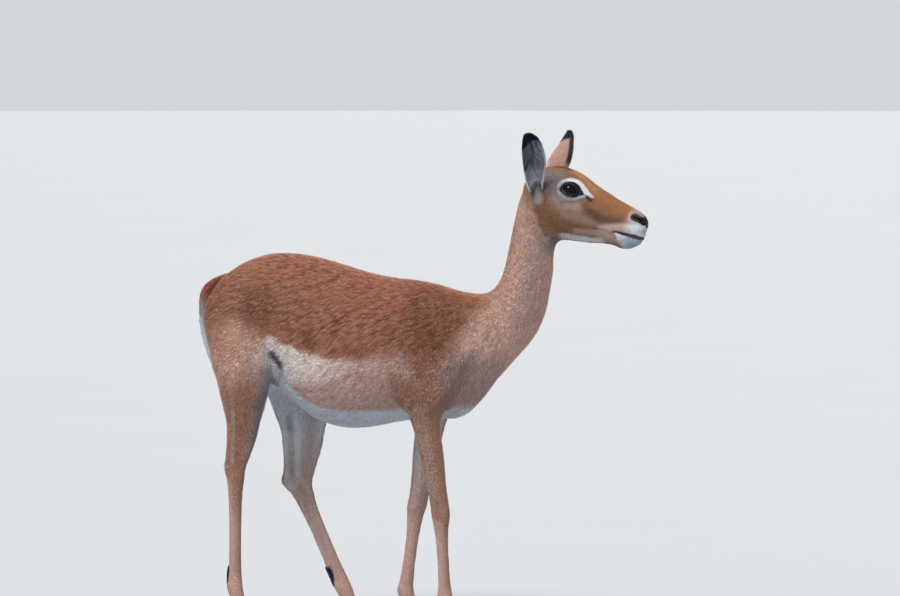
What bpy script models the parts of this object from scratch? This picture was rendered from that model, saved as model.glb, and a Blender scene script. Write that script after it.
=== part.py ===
"""Life-size still model of a female impala, standing on four hooves.

X runs from the rump to the nose, Y to the animal's left and Z up, in metres.
The body is lofted from sections, blended into one form and parted by thin cuts
into head, neck, trunk and legs. Eyes, ears, tail and hooves are pieces of their
own. All outlines are those of the coat's tips.
"""
import math

import bmesh
import bpy
import numpy as np
from mathutils import Matrix, Vector

# Driving dimensions
GAP = 0.0003              # clearance between neighbouring pieces
VOXEL = 0.005             # fineness at which the lofts are blended
RING_SIDES = 28           # points round each lofted section
BODY_TRIANGLES = 4150     # the whole body before it is parted
EYE_RADIUS = 0.0185
EYE_PLACE = (0.634, 0.0435, 1.0530)
EAR_THICKNESS = 0.0046
CLAW_LENGTH = 0.054
CLAW_HEIGHT = 0.040
TOE_REACH = 0.038         # from the coronet's middle to the tips of the claws
CLAW_WIDTH = 0.0185
CLAW_SIDES = 12
CLAW_SPACING = 0.0100     # half the distance between the two claws' middles
CLAW_TAPER = 0.42         # how much the claw narrows towards its toe
CLAW_TAPER_START = 0.45   # from this share of its length
INNER_FLATTENING = 0.8    # of the claw's side that faces its neighbour
EYE_SEGMENTS = 14
EYE_RINGS = 10
TAIL_SIDES = 10
BETWEEN_ROWS = 3          # rows added between two rows of a loft's table
SMOOTHING = 0.5           # share of the way that one round of smoothing moves a point
JOIN_ROUNDS = 60          # rounds of smoothing where two lofts meet
OVERALL_ROUNDS = 6        # and all over the body
JOIN_REACH = 1.35         # how far a join is eased, in its own radii
SWELLING_FALLOFF = 1.6    # how fast a swelling dies away over its radius

# Height, setback of the toe, length and half width of a claw, as shares
CLAW_LEVELS = (
    (0.0, 0.0, 1.0, 0.92),
    (0.25, 0.10, 0.93, 1.0),
    (0.6, 0.26, 0.80, 0.95),
    (0.85, 0.38, 0.68, 0.84),
    (1.0, 0.46, 0.52, 0.60),
)
# Ears: root, tip and the direction that the hollow faces, all on the left side, how far
# the middle of the ear bows to its front, and how far its tip is turned, in degrees
EARS = {
    "right": ((0.548, 0.046, 1.056), (0.566, 0.139, 1.181), (0.45, 0.88, 0.10), 0.0065, 0.0),
    "left": ((0.538, 0.046, 1.056), (0.566, 0.138, 1.182), (-0.12, 0.98, 0.10), 0.0, 48.0),
}
# Place along the ear, half width, half angle of the cup in degrees, share of the bow
EAR_CUP = (
    (-0.12, 0.0145, 120, 0.0), (0.10, 0.0180, 110, 0.0), (0.26, 0.0232, 86, 0.2),
    (0.42, 0.0272, 70, 0.8), (0.56, 0.0276, 61, 1.0), (0.70, 0.0262, 54, 1.0),
    (0.82, 0.0232, 48, 1.0), (0.91, 0.0184, 44, 0.8), (0.97, 0.0122, 40, 0.4),
    (1.00, 0.0060, 36, 0.0),
)
EAR_SETBACK = 0.010       # of the cup's floor behind the line from root to tip
EAR_COLUMNS = 10          # faces across the cup
EAR_TWIST_START = 0.30    # place along the ear from which it is turned
# Profile stations of the trunk:
# x, top z, bottom z, half width, height of the widest place (0 bottom, 1 top)
TRUNK = (
    (-0.300, 0.805, 0.725, 0.026, 0.50),
    (-0.293, 0.820, 0.690, 0.044, 0.50),
    (-0.278, 0.836, 0.650, 0.066, 0.52),
    (-0.250, 0.853, 0.620, 0.088, 0.54),
    (-0.210, 0.875, 0.590, 0.103, 0.56),
    (-0.150, 0.892, 0.572, 0.107, 0.52),
    (-0.090, 0.893, 0.540, 0.112, 0.45),
    (-0.030, 0.885, 0.497, 0.124, 0.42),
    (0.040, 0.868, 0.477, 0.131, 0.42),
    (0.110, 0.850, 0.480, 0.126, 0.43),
    (0.180, 0.840, 0.494, 0.110, 0.44),
    (0.240, 0.836, 0.502, 0.095, 0.45),
    (0.300, 0.824, 0.503, 0.082, 0.42),
    (0.350, 0.805, 0.513, 0.074, 0.42),
    (0.400, 0.780, 0.560, 0.062, 0.45),
    (0.440, 0.745, 0.612, 0.045, 0.50),
)
# Nape x, z, throat x, z, half width, widest place (0 throat, 1 nape)
NECK = (
    (0.190, 0.838, 0.330, 0.540, 0.070, 0.45),
    (0.265, 0.831, 0.420, 0.590, 0.074, 0.45),
    (0.325, 0.816, 0.485, 0.655, 0.067, 0.48),
    (0.375, 0.807, 0.528, 0.705, 0.058, 0.50),
    (0.413, 0.812, 0.553, 0.758, 0.050, 0.50),
    (0.440, 0.838, 0.566, 0.812, 0.044, 0.50),
    (0.455, 0.880, 0.574, 0.860, 0.0405, 0.50),
    (0.465, 0.925, 0.578, 0.905, 0.0385, 0.50),
    (0.475, 0.975, 0.590, 0.950, 0.0380, 0.50),
    (0.490, 1.030, 0.598, 1.000, 0.0370, 0.50),
    (0.508, 1.070, 0.600, 1.035, 0.0330, 0.50),
)
# Crown x, z, jaw x, z, half width, widest place (0 jaw, 1 crown)
HEAD = (
    (0.500, 1.062, 0.535, 0.990, 0.022, 0.55),
    (0.515, 1.085, 0.555, 0.955, 0.037, 0.58),
    (0.540, 1.102, 0.580, 0.936, 0.045, 0.60),
    (0.575, 1.108, 0.602, 0.932, 0.050, 0.62),
    (0.610, 1.105, 0.628, 0.930, 0.053, 0.64),
    (0.645, 1.092, 0.652, 0.929, 0.052, 0.66),
    (0.680, 1.068, 0.676, 0.928, 0.044, 0.60),
    (0.712, 1.049, 0.702, 0.927, 0.036, 0.52),
    (0.742, 1.032, 0.726, 0.923, 0.0285, 0.48),
    (0.768, 1.019, 0.749, 0.915, 0.0245, 0.48),
    (0.789, 1.009, 0.768, 0.915, 0.0230, 0.52),
    (0.803, 0.999, 0.785, 0.923, 0.0215, 0.55),
    (0.811, 0.987, 0.799, 0.938, 0.0165, 0.52),
    (0.814, 0.976, 0.808, 0.955, 0.0085, 0.50),
)
# Legs: joints as x, y, z of the left side, and how far the toes turn out
FORE_LEGS = {
    "right": ((0.262, 0.022, 0.800), (0.320, 0.060, 0.665), (0.282, 0.074, 0.540),
              (0.318, 0.072, 0.292), (0.331, 0.072, 0.088), (0.352, 0.073, 0.038)),
    "left": ((0.252, 0.022, 0.800), (0.295, 0.060, 0.665), (0.250, 0.074, 0.540),
             (0.198, 0.068, 0.297), (0.169, 0.066, 0.088), (0.186, 0.067, 0.038)),
}
HIND_LEGS = {
    "right": ((-0.215, 0.030, 0.835), (-0.222, 0.056, 0.735), (-0.182, 0.080, 0.580),
              (-0.214, 0.073, 0.378), (-0.214, 0.076, 0.088), (-0.196, 0.079, 0.038)),
    "left": ((-0.210, 0.030, 0.835), (-0.210, 0.056, 0.735), (-0.112, 0.080, 0.565),
             (-0.113, 0.064, 0.336), (0.003, 0.074, 0.088), (0.022, 0.077, 0.038)),
}
FORE_TURN = math.radians(14)
HIND_TURN = math.radians(23)
# Bone (0 blade or hip, 1 arm or thigh, 2 forearm or shank, 3 cannon, 4 pastern),
# place along it, reach to the front, reach to the back, half width
FORE_SECTIONS = (
    (0, 0.00, 0.030, 0.030, 0.012),
    (0, 0.30, 0.060, 0.060, 0.026),
    (0, 0.65, 0.078, 0.085, 0.036),
    (1, 0.00, 0.074, 0.105, 0.039),
    (1, 0.45, 0.070, 0.100, 0.039),
    (1, 0.80, 0.062, 0.080, 0.037),
    (2, 0.05, 0.046, 0.060, 0.034),
    (2, 0.16, 0.034, 0.049, 0.031),
    (2, 0.32, 0.030, 0.042, 0.0275),
    (2, 0.55, 0.028, 0.035, 0.0240),
    (2, 0.75, 0.025, 0.028, 0.0210),
    (2, 0.92, 0.025, 0.024, 0.0210),
    (3, 0.05, 0.024, 0.024, 0.0205),
    (3, 0.18, 0.020, 0.021, 0.0165),
    (3, 0.40, 0.0165, 0.0175, 0.0135),
    (3, 0.70, 0.0160, 0.0175, 0.0130),
    (3, 0.90, 0.0175, 0.0195, 0.0155),
    (4, 0.05, 0.0190, 0.0225, 0.0180),
    (4, 0.40, 0.0180, 0.0200, 0.0175),
    (4, 0.80, 0.0200, 0.0180, 0.0180),
    (4, 1.15, 0.0160, 0.0170, 0.0165),
)
HIND_SECTIONS = (
    (0, 0.00, 0.040, 0.040, 0.014),
    (0, 0.45, 0.080, 0.078, 0.036),
    (1, 0.00, 0.092, 0.092, 0.046),
    (1, 0.35, 0.096, 0.094, 0.047),
    (1, 0.70, 0.088, 0.096, 0.044),
    (2, 0.05, 0.076, 0.091, 0.039),
    (2, 0.25, 0.072, 0.070, 0.033),
    (2, 0.45, 0.064, 0.049, 0.0265),
    (2, 0.65, 0.057, 0.041, 0.0220),
    (2, 0.85, 0.044, 0.038, 0.0195),
    (3, 0.00, 0.033, 0.038, 0.0190),
    (3, 0.10, 0.027, 0.028, 0.0175),
    (3, 0.22, 0.0215, 0.0235, 0.0150),
    (3, 0.45, 0.0190, 0.0205, 0.0130),
    (3, 0.75, 0.0180, 0.0205, 0.0130),
    (3, 0.90, 0.0190, 0.0230, 0.0155),
    (4, 0.05, 0.0200, 0.0240, 0.0175),
    (4, 0.40, 0.0185, 0.0210, 0.0170),
    (4, 0.80, 0.0200, 0.0185, 0.0175),
    (4, 1.15, 0.0160, 0.0170, 0.0160),
)
# Where lofts meet and the surface is eased: x, y of the left side, z, radius
SOFT_JOINS = (
    (0.26, 0.06, 0.76, 0.15),
    (0.33, 0.08, 0.60, 0.13),
    (0.19, 0.10, 0.58, 0.10),
    (-0.22, 0.06, 0.82, 0.13),
    (-0.12, 0.09, 0.66, 0.11),
    (-0.29, 0.06, 0.68, 0.10),
    (0.42, 0.03, 0.66, 0.12),
    (0.56, 0.03, 0.97, 0.08),
    (0.28, 0.04, 0.50, 0.06),
    (-0.15, 0.03, 0.56, 0.09),
)
# Swellings and hollows of both sides: x, y, z, radius, height
MODELLING = (
    (0.395, 0.066, 0.655, 0.055, 0.004),      # point of the shoulder
    (0.235, 0.095, 0.610, 0.060, 0.006),      # upper arm muscle
    (0.270, 0.070, 0.760, 0.055, 0.003),      # shoulder blade
    (0.380, 0.060, 0.745, 0.055, -0.004),     # hollow before the shoulder
    (-0.135, 0.090, 0.838, 0.040, 0.005),     # hip bone
    (-0.090, 0.110, 0.735, 0.070, -0.008),    # hollow of the flank
    (-0.285, 0.060, 0.780, 0.045, 0.003),     # point of the buttock
    (0.645, 0.055, 1.070, 0.024, 0.005),      # brow over the eye
    (0.632, 0.055, 1.030, 0.022, 0.003),      # cheekbone under the eye
    (0.692, 0.036, 1.030, 0.032, -0.003),     # hollow ahead of the eye
    (0.605, 0.048, 0.965, 0.036, 0.003),      # jaw muscle
    (0.700, 0.033, 0.960, 0.036, -0.003),     # hollow of the cheek
    (0.801, 0.017, 0.985, 0.015, 0.003),      # wing of the nostril
    (0.790, 0.014, 0.952, 0.012, -0.0025),    # parting of the lips
    (-0.234, 0.076, 0.124, 0.024, 0.005),     # heel brush, right hind leg
    (-0.032, 0.073, 0.118, 0.024, 0.005),     # heel brush, left hind leg
)
# Tail: x, z, half depth, half width
TAIL = (
    (-0.256, 0.840, 0.016, 0.020),
    (-0.290, 0.826, 0.018, 0.022),
    (-0.315, 0.803, 0.020, 0.023),
    (-0.324, 0.768, 0.020, 0.023),
    (-0.324, 0.725, 0.019, 0.023),
    (-0.314, 0.675, 0.018, 0.024),
    (-0.296, 0.625, 0.017, 0.023),
    (-0.283, 0.580, 0.013, 0.017),
    (-0.277, 0.555, 0.006, 0.008),
)
# Where the body is parted: a slanted cut is a line through x, z and x, z
HEAD_CUT = (0.6275, 0.85, 0.4275, 1.25)
NECK_CUT = (0.477, 0.56, 0.208, 1.20)
AHEAD_OF_ALL = (0.95, 0.0, 0.95, 1.0)
HEAD_FLOOR = 0.85         # the underside of the block that takes the head
NECK_FLOOR = 0.56
OVER_ALL = 1.3
UNDER_ALL = -0.02
BEYOND = 0.30             # sideways reach of a block that cuts right across
LEG_BEYOND = 0.20         # sideways reach of a block that takes one leg
SLANT_ALLOWANCE = 1.3     # lengthens the gap along X where a cut slants
# Blocks of a lower leg: reach behind and ahead of the carpus or hock, and the top
FORELEG_LOWER = (0.10, 0.15, 0.262)
HINDLEG_LOWER = (0.12, 0.25, 0.345)
# Blocks of an upper leg: reach behind and ahead of the joint and the height of both,
# x behind, x ahead and the height of both at the top, the underside of the block, and
# its top at the animal's middle and at its outer side
FORELEG_UPPER = (0.06, 0.06, 0.26, 0.175, 0.400, 0.70, 0.20, 0.480, 0.850)
HINDLEG_UPPER = (0.12, 0.11, 0.34, -0.400, 0.085, 0.79, 0.28, 0.560, 0.930)


def clear_scene():
    for item in list(bpy.data.objects):
        bpy.data.objects.remove(item, do_unlink=True)


def make_collection(name):
    collection = bpy.data.collections.new(name)
    bpy.context.scene.collection.children.link(collection)
    return collection


def make_material(name, colour, roughness):
    material = bpy.data.materials.new(name)
    material.use_nodes = True
    shader = material.node_tree.nodes["Principled BSDF"]
    shader.inputs["Base Color"].default_value = (*colour, 1.0)
    shader.inputs["Roughness"].default_value = roughness
    return material


def add_object(name, mesh, collection):
    item = bpy.data.objects.new(name, mesh)
    collection.objects.link(item)
    return item


def smooth_rows(rows, between):
    """Rows of numbers with `between` more rows on a smooth curve in each gap."""
    rows = np.array(rows, dtype=float)
    tangents = np.gradient(rows, axis=0)
    steps = np.linspace(0.0, 1.0, between + 1, endpoint=False)
    out = []
    for start, end, lead, tail in zip(rows[:-1], rows[1:], tangents[:-1], tangents[1:]):
        for t in steps:
            out.append((2 * t**3 - 3 * t**2 + 1) * start + (t**3 - 2 * t**2 + t) * lead
                       + (3 * t**2 - 2 * t**3) * end + (t**3 - t**2) * tail)
    out.append(rows[-1])
    return np.array(out)


def loft_mesh(name, rings):
    """A closed mesh through rings of equal point counts, capped at both ends."""
    rings = np.array(rings)
    count, sides = rings.shape[:2]
    mesh = bpy.data.meshes.new(name)
    form = bmesh.new()
    rows = [[form.verts.new(point) for point in ring] for ring in rings]
    for low, high in zip(rows[:-1], rows[1:]):
        for i in range(sides):
            j = (i + 1) % sides
            form.faces.new((low[i], low[j], high[j], high[i]))
    form.faces.new(list(reversed(rows[0])))
    form.faces.new(rows[count - 1])
    bmesh.ops.recalc_face_normals(form, faces=form.faces)
    form.to_mesh(mesh)
    form.free()
    return mesh


def profile_ring(upper, lower, side, half_width, widest):
    """Egg-shaped section between two profile points, widest part way between."""
    upper, lower = np.array(upper, dtype=float), np.array(lower, dtype=float)
    middle = lower + (upper - lower) * widest
    ring = []
    for i in range(RING_SIDES):
        angle = 2 * math.pi * i / RING_SIDES
        rise = math.sin(angle)
        reach = (upper - middle) if rise > 0 else (middle - lower)
        point = middle + reach * rise
        ring.append((point[0], side + half_width * math.cos(angle), point[1]))
    return ring


def trunk_mesh():
    rows = smooth_rows(TRUNK, BETWEEN_ROWS)
    rings = [profile_ring((x, top), (x, bottom), 0.0, width, widest)
             for x, top, bottom, width, widest in rows]
    return loft_mesh("trunk_form", rings)


def spine_mesh(name, stations):
    """A loft through stations that give two profile points and a half width."""
    rings = [profile_ring((ax, az), (bx, bz), 0.0, width, widest)
             for ax, az, bx, bz, width, widest in smooth_rows(stations, BETWEEN_ROWS)]
    return loft_mesh(name, rings)


def leg_mesh(name, joints, sections, turn, side):
    """One leg down to the hoof. Each section is level, turned out by `turn`."""
    joints = np.array(joints)
    rows = []
    for bone, place, front, back, width in sections:
        start, end = joints[bone], joints[bone + 1]
        centre = start + (end - start) * place
        slant = np.linalg.norm(end - start) / abs(end[2] - start[2])
        twist = turn * min(1.0, (bone + place) / 2)
        rows.append((*centre, front * slant, back * slant, width, twist))
    rings = []
    for x, y, z, front, back, width, twist in smooth_rows(rows, BETWEEN_ROWS):
        ring = []
        for i in range(RING_SIDES):
            angle = 2 * math.pi * i / RING_SIDES
            ahead = math.cos(angle) * (front if math.cos(angle) > 0 else back)
            out = math.sin(angle) * width
            ring.append((x + ahead * math.cos(twist) - out * math.sin(twist),
                         side * (y + ahead * math.sin(twist) + out * math.cos(twist)), z))
        rings.append(ring)
    return loft_mesh(name, rings)


def tail_mesh():
    rings = []
    for x, z, depth, width in smooth_rows(TAIL, 1):
        angles = [2 * math.pi * i / TAIL_SIDES for i in range(TAIL_SIDES)]
        rings.append([(x + depth * math.cos(a), width * math.sin(a), z) for a in angles])
    return loft_mesh("tail_form", rings)


def ear_twist(name, place):
    """Turn of the cup round its length, growing evenly towards the tip."""
    share = min(1.0, max(0.0, (place - EAR_TWIST_START) / (1.0 - EAR_TWIST_START)))
    return math.radians(EARS[name][4]) * share * share * (3 - 2 * share)


def ear_mesh(name, side):
    """A leaf-shaped cup of even thickness, a tube at its root."""
    root, tip, opens = (Vector((x, side * y, z)) for x, y, z in EARS[name][:3])
    axis = (tip - root).normalized()
    opens = (opens - axis * opens.dot(axis)).normalized()
    across = opens.cross(axis) * side
    form = bmesh.new()
    rows = []
    for place, half_width, spread, bow in EAR_CUP:
        centre = root.lerp(tip, place) + across * (EARS[name][3] * bow)
        radius = half_width / math.sin(math.radians(min(spread, 90)))
        twist = ear_twist(name, place)
        facing = opens * math.cos(twist) + across * math.sin(twist)
        level = across * math.cos(twist) - opens * math.sin(twist)
        row = []
        for i in range(EAR_COLUMNS + 1):
            angle = math.radians(spread) * (2 * i / EAR_COLUMNS - 1)
            depth = radius * (1 - math.cos(angle)) - EAR_SETBACK
            row.append(form.verts.new(centre + level * (radius * math.sin(angle))
                                      + facing * depth))
        rows.append(row)
    for low, high in zip(rows[:-1], rows[1:]):
        for i in range(EAR_COLUMNS):
            form.faces.new((low[i], low[i + 1], high[i + 1], high[i]))
    mesh = bpy.data.meshes.new("ear_form")
    form.to_mesh(mesh)
    form.free()
    return mesh


def claw_mesh(name, toe, turn, inner):
    """One claw of a split hoof: flat sole, sloping front, flatter inner side."""
    rings = []
    for height, setback, length, breadth in CLAW_LEVELS:
        ring = []
        for i in range(CLAW_SIDES):
            angle = 2 * math.pi * i / CLAW_SIDES
            along = 0.5 + 0.5 * math.cos(angle)
            narrowing = max(0.0, along - CLAW_TAPER_START) / (1.0 - CLAW_TAPER_START)
            taper = 1.0 - CLAW_TAPER * narrowing
            across = math.sin(angle) * taper * breadth * CLAW_WIDTH / 2
            across *= INNER_FLATTENING if across * inner > 0 else 1.0
            ahead = -CLAW_LENGTH * (setback + (1 - along) * length)
            ring.append((toe[0] + ahead * math.cos(turn) - across * math.sin(turn),
                         toe[1] + ahead * math.sin(turn) + across * math.cos(turn),
                         height * CLAW_HEIGHT))
        rings.append(ring)
    return loft_mesh(name, rings)


def evaluated_copy(item, name):
    """A new mesh with the object's modifiers applied."""
    graph = bpy.context.evaluated_depsgraph_get()
    graph.update()
    mesh = bpy.data.meshes.new_from_object(item.evaluated_get(graph))
    mesh.name = name
    return mesh


def bake_modifiers(item):
    """Apply an object's modifiers to its own mesh."""
    mesh = evaluated_copy(item, item.name + "_mesh")
    item.modifiers.clear()
    item.data = mesh


def hide_as_tool(item):
    item.hide_render = True
    item.display_type = "WIRE"


def boolean(item, other, operation):
    cut = item.modifiers.new(operation.lower(), "BOOLEAN")
    cut.operation = operation
    cut.object = other
    bake_modifiers(item)


def grown(item, amount, collection):
    """A copy of a piece, swollen by a small amount along its normals."""
    copy = add_object(item.name + "_grown", item.data.copy(), collection)
    swell = copy.modifiers.new("swell", "DISPLACE")
    swell.strength = amount
    swell.mid_level = 0.0
    bake_modifiers(copy)
    hide_as_tool(copy)
    return copy


def body_form(collection):
    """All the lofts of the body, blended into one smooth closed form."""
    meshes = [trunk_mesh(), spine_mesh("neck_form", NECK), spine_mesh("head_form", HEAD)]
    for name, side in (("right", -1), ("left", 1)):
        meshes.append(leg_mesh("fore_" + name, FORE_LEGS[name], FORE_SECTIONS, FORE_TURN, side))
        meshes.append(leg_mesh("hind_" + name, HIND_LEGS[name], HIND_SECTIONS, HIND_TURN, side))
    joined = bmesh.new()
    for mesh in meshes:
        joined.from_mesh(mesh)
    whole = bpy.data.meshes.new("body_form")
    joined.to_mesh(whole)
    joined.free()
    body = add_object("body_form", whole, collection)
    blend = body.modifiers.new("blend", "REMESH")
    blend.mode = "VOXEL"
    blend.voxel_size = VOXEL
    bake_modifiers(body)
    return body


def soften_joins(body):
    """Smooth the surface most where two lofts meet, and a little everywhere."""
    places = np.array([vertex.co for vertex in body.data.vertices])
    places[:, 1] = abs(places[:, 1])
    weights = np.zeros(len(places))
    for x, y, z, radius in SOFT_JOINS:
        distance = np.linalg.norm(places - (x, y, z), axis=1) / radius
        weights = np.maximum(weights, np.clip(JOIN_REACH - distance, 0.0, 1.0))
    group = body.vertex_groups.new(name="joins")
    for index, weight in enumerate(weights):
        if weight > 0:
            group.add([index], float(weight), "REPLACE")
    ease = body.modifiers.new("ease", "SMOOTH")
    ease.factor = SMOOTHING
    ease.iterations = JOIN_ROUNDS
    ease.vertex_group = "joins"
    fair = body.modifiers.new("fair", "SMOOTH")
    fair.factor = SMOOTHING
    fair.iterations = OVERALL_ROUNDS
    bake_modifiers(body)


def model_forms(body):
    """Raise and sink the surface along its normals round each place in MODELLING."""
    count = len(body.data.vertices)
    places, normals = np.empty(count * 3), np.empty(count * 3)
    body.data.vertices.foreach_get("co", places)
    body.data.vertices.foreach_get("normal", normals)
    places, normals = places.reshape(-1, 3), normals.reshape(-1, 3)
    height = np.zeros(count)
    for side in (-1, 1):
        for x, y, z, radius, rise in MODELLING:
            distance = np.linalg.norm(places - (x, side * y, z), axis=1)
            height += rise * np.exp(-(SWELLING_FALLOFF * distance / radius) ** 2)
    body.data.vertices.foreach_set("co", (places + normals * height[:, None]).ravel())
    body.data.update()


def thin_out(body):
    reduce = body.modifiers.new("reduce", "DECIMATE")
    reduce.ratio = BODY_TRIANGLES / (2.0 * len(body.data.polygons))
    bake_modifiers(body)


def cutting_block(name, back, front, sides, floor, tops, inset, collection):
    """A six-sided block. `back` and `front` are its x at two heights as
    (x, z, x, z), `sides` its two y limits and `tops` its top at each of them."""
    def at_height(edge, z):
        low_x, low_z, high_x, high_z = edge
        return low_x + (high_x - low_x) * (z - low_z) / (high_z - low_z)

    low, high = sorted(sides)
    top_at = dict(zip(sides, tops))
    mesh = bpy.data.meshes.new(name)
    form = bmesh.new()
    bmesh.ops.create_cube(form, size=1.0)
    for vertex in form.verts:
        y = high - inset if vertex.co.y > 0 else low + inset
        top = top_at[high if vertex.co.y > 0 else low] - 2 * inset
        z = top if vertex.co.z > 0 else floor + inset
        if vertex.co.x > 0:
            x = at_height(front, z) - SLANT_ALLOWANCE * inset
        else:
            x = at_height(back, z) + SLANT_ALLOWANCE * inset
        vertex.co = (x, y, z)
    form.to_mesh(mesh)
    form.free()
    block = add_object(name, mesh, collection)
    hide_as_tool(block)
    return block


def part_off(body, name, region, parts, tools):
    """Cut the piece inside a block off the body, leaving the thin gap between."""
    piece = add_object(name, body.data.copy(), parts)
    boolean(piece, cutting_block(name + "_inside", *region, GAP, tools), "INTERSECT")
    boolean(body, cutting_block(name + "_outside", *region, 0.0, tools), "DIFFERENCE")
    return piece


def lower_leg_block(joint, sizes, sides):
    """The block round a leg below its carpus or hock, which lies at x = joint."""
    reach_behind, reach_ahead, top = sizes
    behind = (joint - reach_behind, 0.0, joint - reach_behind, 1.0)
    ahead = (joint + reach_ahead, 0.0, joint + reach_ahead, 1.0)
    return behind, ahead, sides, UNDER_ALL, (top, top)


def upper_leg_block(joint, stifle, sizes, sides):
    """The block round a leg above it, whose top at the front lies at x = stifle + ahead."""
    reach_behind, reach_ahead, low, x_behind, x_ahead, high, floor, inner, outer = sizes
    behind = (joint - reach_behind, low, x_behind, high)
    ahead = (joint + reach_ahead, low, stifle + x_ahead, high)
    return behind, ahead, sides, floor, (inner, outer)


def body_regions():
    """Names and blocks of the pieces, in the order that they are cut off."""
    wide = (-BEYOND, BEYOND)
    top = (OVER_ALL, OVER_ALL)
    regions = [
        ("head", HEAD_CUT, AHEAD_OF_ALL, wide, HEAD_FLOOR, top),
        ("neck", NECK_CUT, AHEAD_OF_ALL, wide, NECK_FLOOR, top),
    ]
    for name, side in (("right", -1), ("left", 1)):
        sides = (0.0, side * LEG_BEYOND)
        carpus = FORE_LEGS[name][3][0]
        hock = HIND_LEGS[name][3][0]
        stifle = HIND_LEGS[name][2][0]
        regions += [
            ("foreleg_%s_lower" % name, *lower_leg_block(carpus, FORELEG_LOWER, sides)),
            ("hindleg_%s_lower" % name, *lower_leg_block(hock, HINDLEG_LOWER, sides)),
            ("foreleg_%s_upper" % name, *upper_leg_block(carpus, 0.0, FORELEG_UPPER, sides)),
            ("hindleg_%s_upper" % name, *upper_leg_block(hock, stifle, HINDLEG_UPPER, sides)),
        ]
    return regions


def make_eye(name, side, body, parts, tools):
    mesh = bpy.data.meshes.new(name)
    form = bmesh.new()
    bmesh.ops.create_uvsphere(form, u_segments=EYE_SEGMENTS, v_segments=EYE_RINGS,
                              radius=EYE_RADIUS)
    form.to_mesh(mesh)
    form.free()
    mesh.transform(Matrix.Translation((EYE_PLACE[0], side * EYE_PLACE[1], EYE_PLACE[2])))
    eye = add_object("eye_" + name, mesh, parts)
    boolean(body, grown(eye, GAP, tools), "DIFFERENCE")


def make_ear(name, side, body_grown, parts):
    ear = add_object("ear_" + name, ear_mesh(name, side), parts)
    shell = ear.modifiers.new("shell", "SOLIDIFY")
    shell.thickness = EAR_THICKNESS
    shell.offset = 0.0
    bake_modifiers(ear)
    boolean(ear, body_grown, "DIFFERENCE")


def make_claws(name, coronet, turn, side, body, parts, tools):
    """Two claws under a leg, each let into the end of the pastern."""
    x, y, _ = coronet
    for place, inner in (("inner", 1), ("outer", -1)):
        out = -inner * CLAW_SPACING
        toe = (x + TOE_REACH * math.cos(turn) - out * math.sin(turn),
               y + TOE_REACH * math.sin(turn) + out * math.cos(turn))
        mesh = claw_mesh("claw", toe, turn, inner)
        if side < 0:
            mesh.transform(Matrix.Scale(-1, 4, (0, 1, 0)))
            mesh.flip_normals()
        claw = add_object("hoof_%s_%s" % (name, place), mesh, parts)
        boolean(body, grown(claw, GAP, tools), "DIFFERENCE")


def stand_on_origin(parts):
    """Move everything so that the hooves stand round the origin."""
    corners = np.array([vertex.co for item in parts.objects for vertex in item.data.vertices])
    low, high = corners.min(axis=0), corners.max(axis=0)
    shift = Matrix.Translation((-(low[0] + high[0]) / 2, -(low[1] + high[1]) / 2, -low[2]))
    for item in parts.objects:
        item.data.transform(shift)


def finish_for(name, finishes):
    for start, finish in finishes.items():
        if name.startswith(start):
            return finish
    return finishes["coat"]


def main():
    clear_scene()
    parts = make_collection("impala")
    tools = make_collection("cutters")
    body = body_form(parts)
    body.name = "trunk"
    soften_joins(body)
    model_forms(body)
    thin_out(body)
    body_grown = grown(body, GAP, tools)
    tail = add_object("tail", tail_mesh(), parts)
    boolean(tail, body_grown, "DIFFERENCE")
    for side, name in ((-1, "right"), (1, "left")):
        make_ear(name, side, body_grown, parts)
        make_eye(name, side, body, parts, tools)
        make_claws("foreleg_" + name, FORE_LEGS[name][-1], FORE_TURN, side, body, parts, tools)
        make_claws("hindleg_" + name, HIND_LEGS[name][-1], HIND_TURN, side, body, parts, tools)
    for name, *region in body_regions():
        part_off(body, name, region, parts, tools)
    stand_on_origin(parts)
    finishes = {
        "coat": make_material("coat", (0.45, 0.24, 0.12), 0.85),
        "tail": make_material("pale_coat", (0.75, 0.70, 0.64), 0.85),
        "hoof": make_material("hoof_horn", (0.02, 0.018, 0.016), 0.40),
        "eye": make_material("eye", (0.01, 0.007, 0.005), 0.05),
    }
    for item in parts.objects:
        item.data.materials.clear()
        item.data.materials.append(finish_for(item.name, finishes))


main()
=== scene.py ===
"""Looks of the life-size female impala: one skin, a coat of tufts, eyes, hooves and a studio.

All shapes are made in the animal's own frame (X from rump to nose, Y to its left, Z up,
origin on the ground under the middle of the trunk) and then set where the frame's eyes are.
Tables give measures in millimetres and strengths and places along a bone as fractions;
everything else is in metres.
"""
import math

import bmesh
import bpy
import numpy as np
from mathutils import Matrix, Vector
from mathutils.bvhtree import BVHTree


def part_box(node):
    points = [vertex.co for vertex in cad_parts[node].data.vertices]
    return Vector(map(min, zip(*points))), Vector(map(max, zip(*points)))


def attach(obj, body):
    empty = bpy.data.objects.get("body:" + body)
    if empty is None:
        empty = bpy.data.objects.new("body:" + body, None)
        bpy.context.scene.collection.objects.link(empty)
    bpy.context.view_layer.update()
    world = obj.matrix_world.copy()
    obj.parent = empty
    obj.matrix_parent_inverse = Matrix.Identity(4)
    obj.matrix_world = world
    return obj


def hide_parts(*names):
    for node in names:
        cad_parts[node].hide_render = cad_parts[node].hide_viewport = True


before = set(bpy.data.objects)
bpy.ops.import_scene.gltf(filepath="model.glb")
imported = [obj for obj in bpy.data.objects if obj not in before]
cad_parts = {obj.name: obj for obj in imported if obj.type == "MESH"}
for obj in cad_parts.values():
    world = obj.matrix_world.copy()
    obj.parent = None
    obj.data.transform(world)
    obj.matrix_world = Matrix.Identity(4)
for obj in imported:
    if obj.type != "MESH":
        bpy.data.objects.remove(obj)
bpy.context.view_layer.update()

SEED = 11
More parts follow.
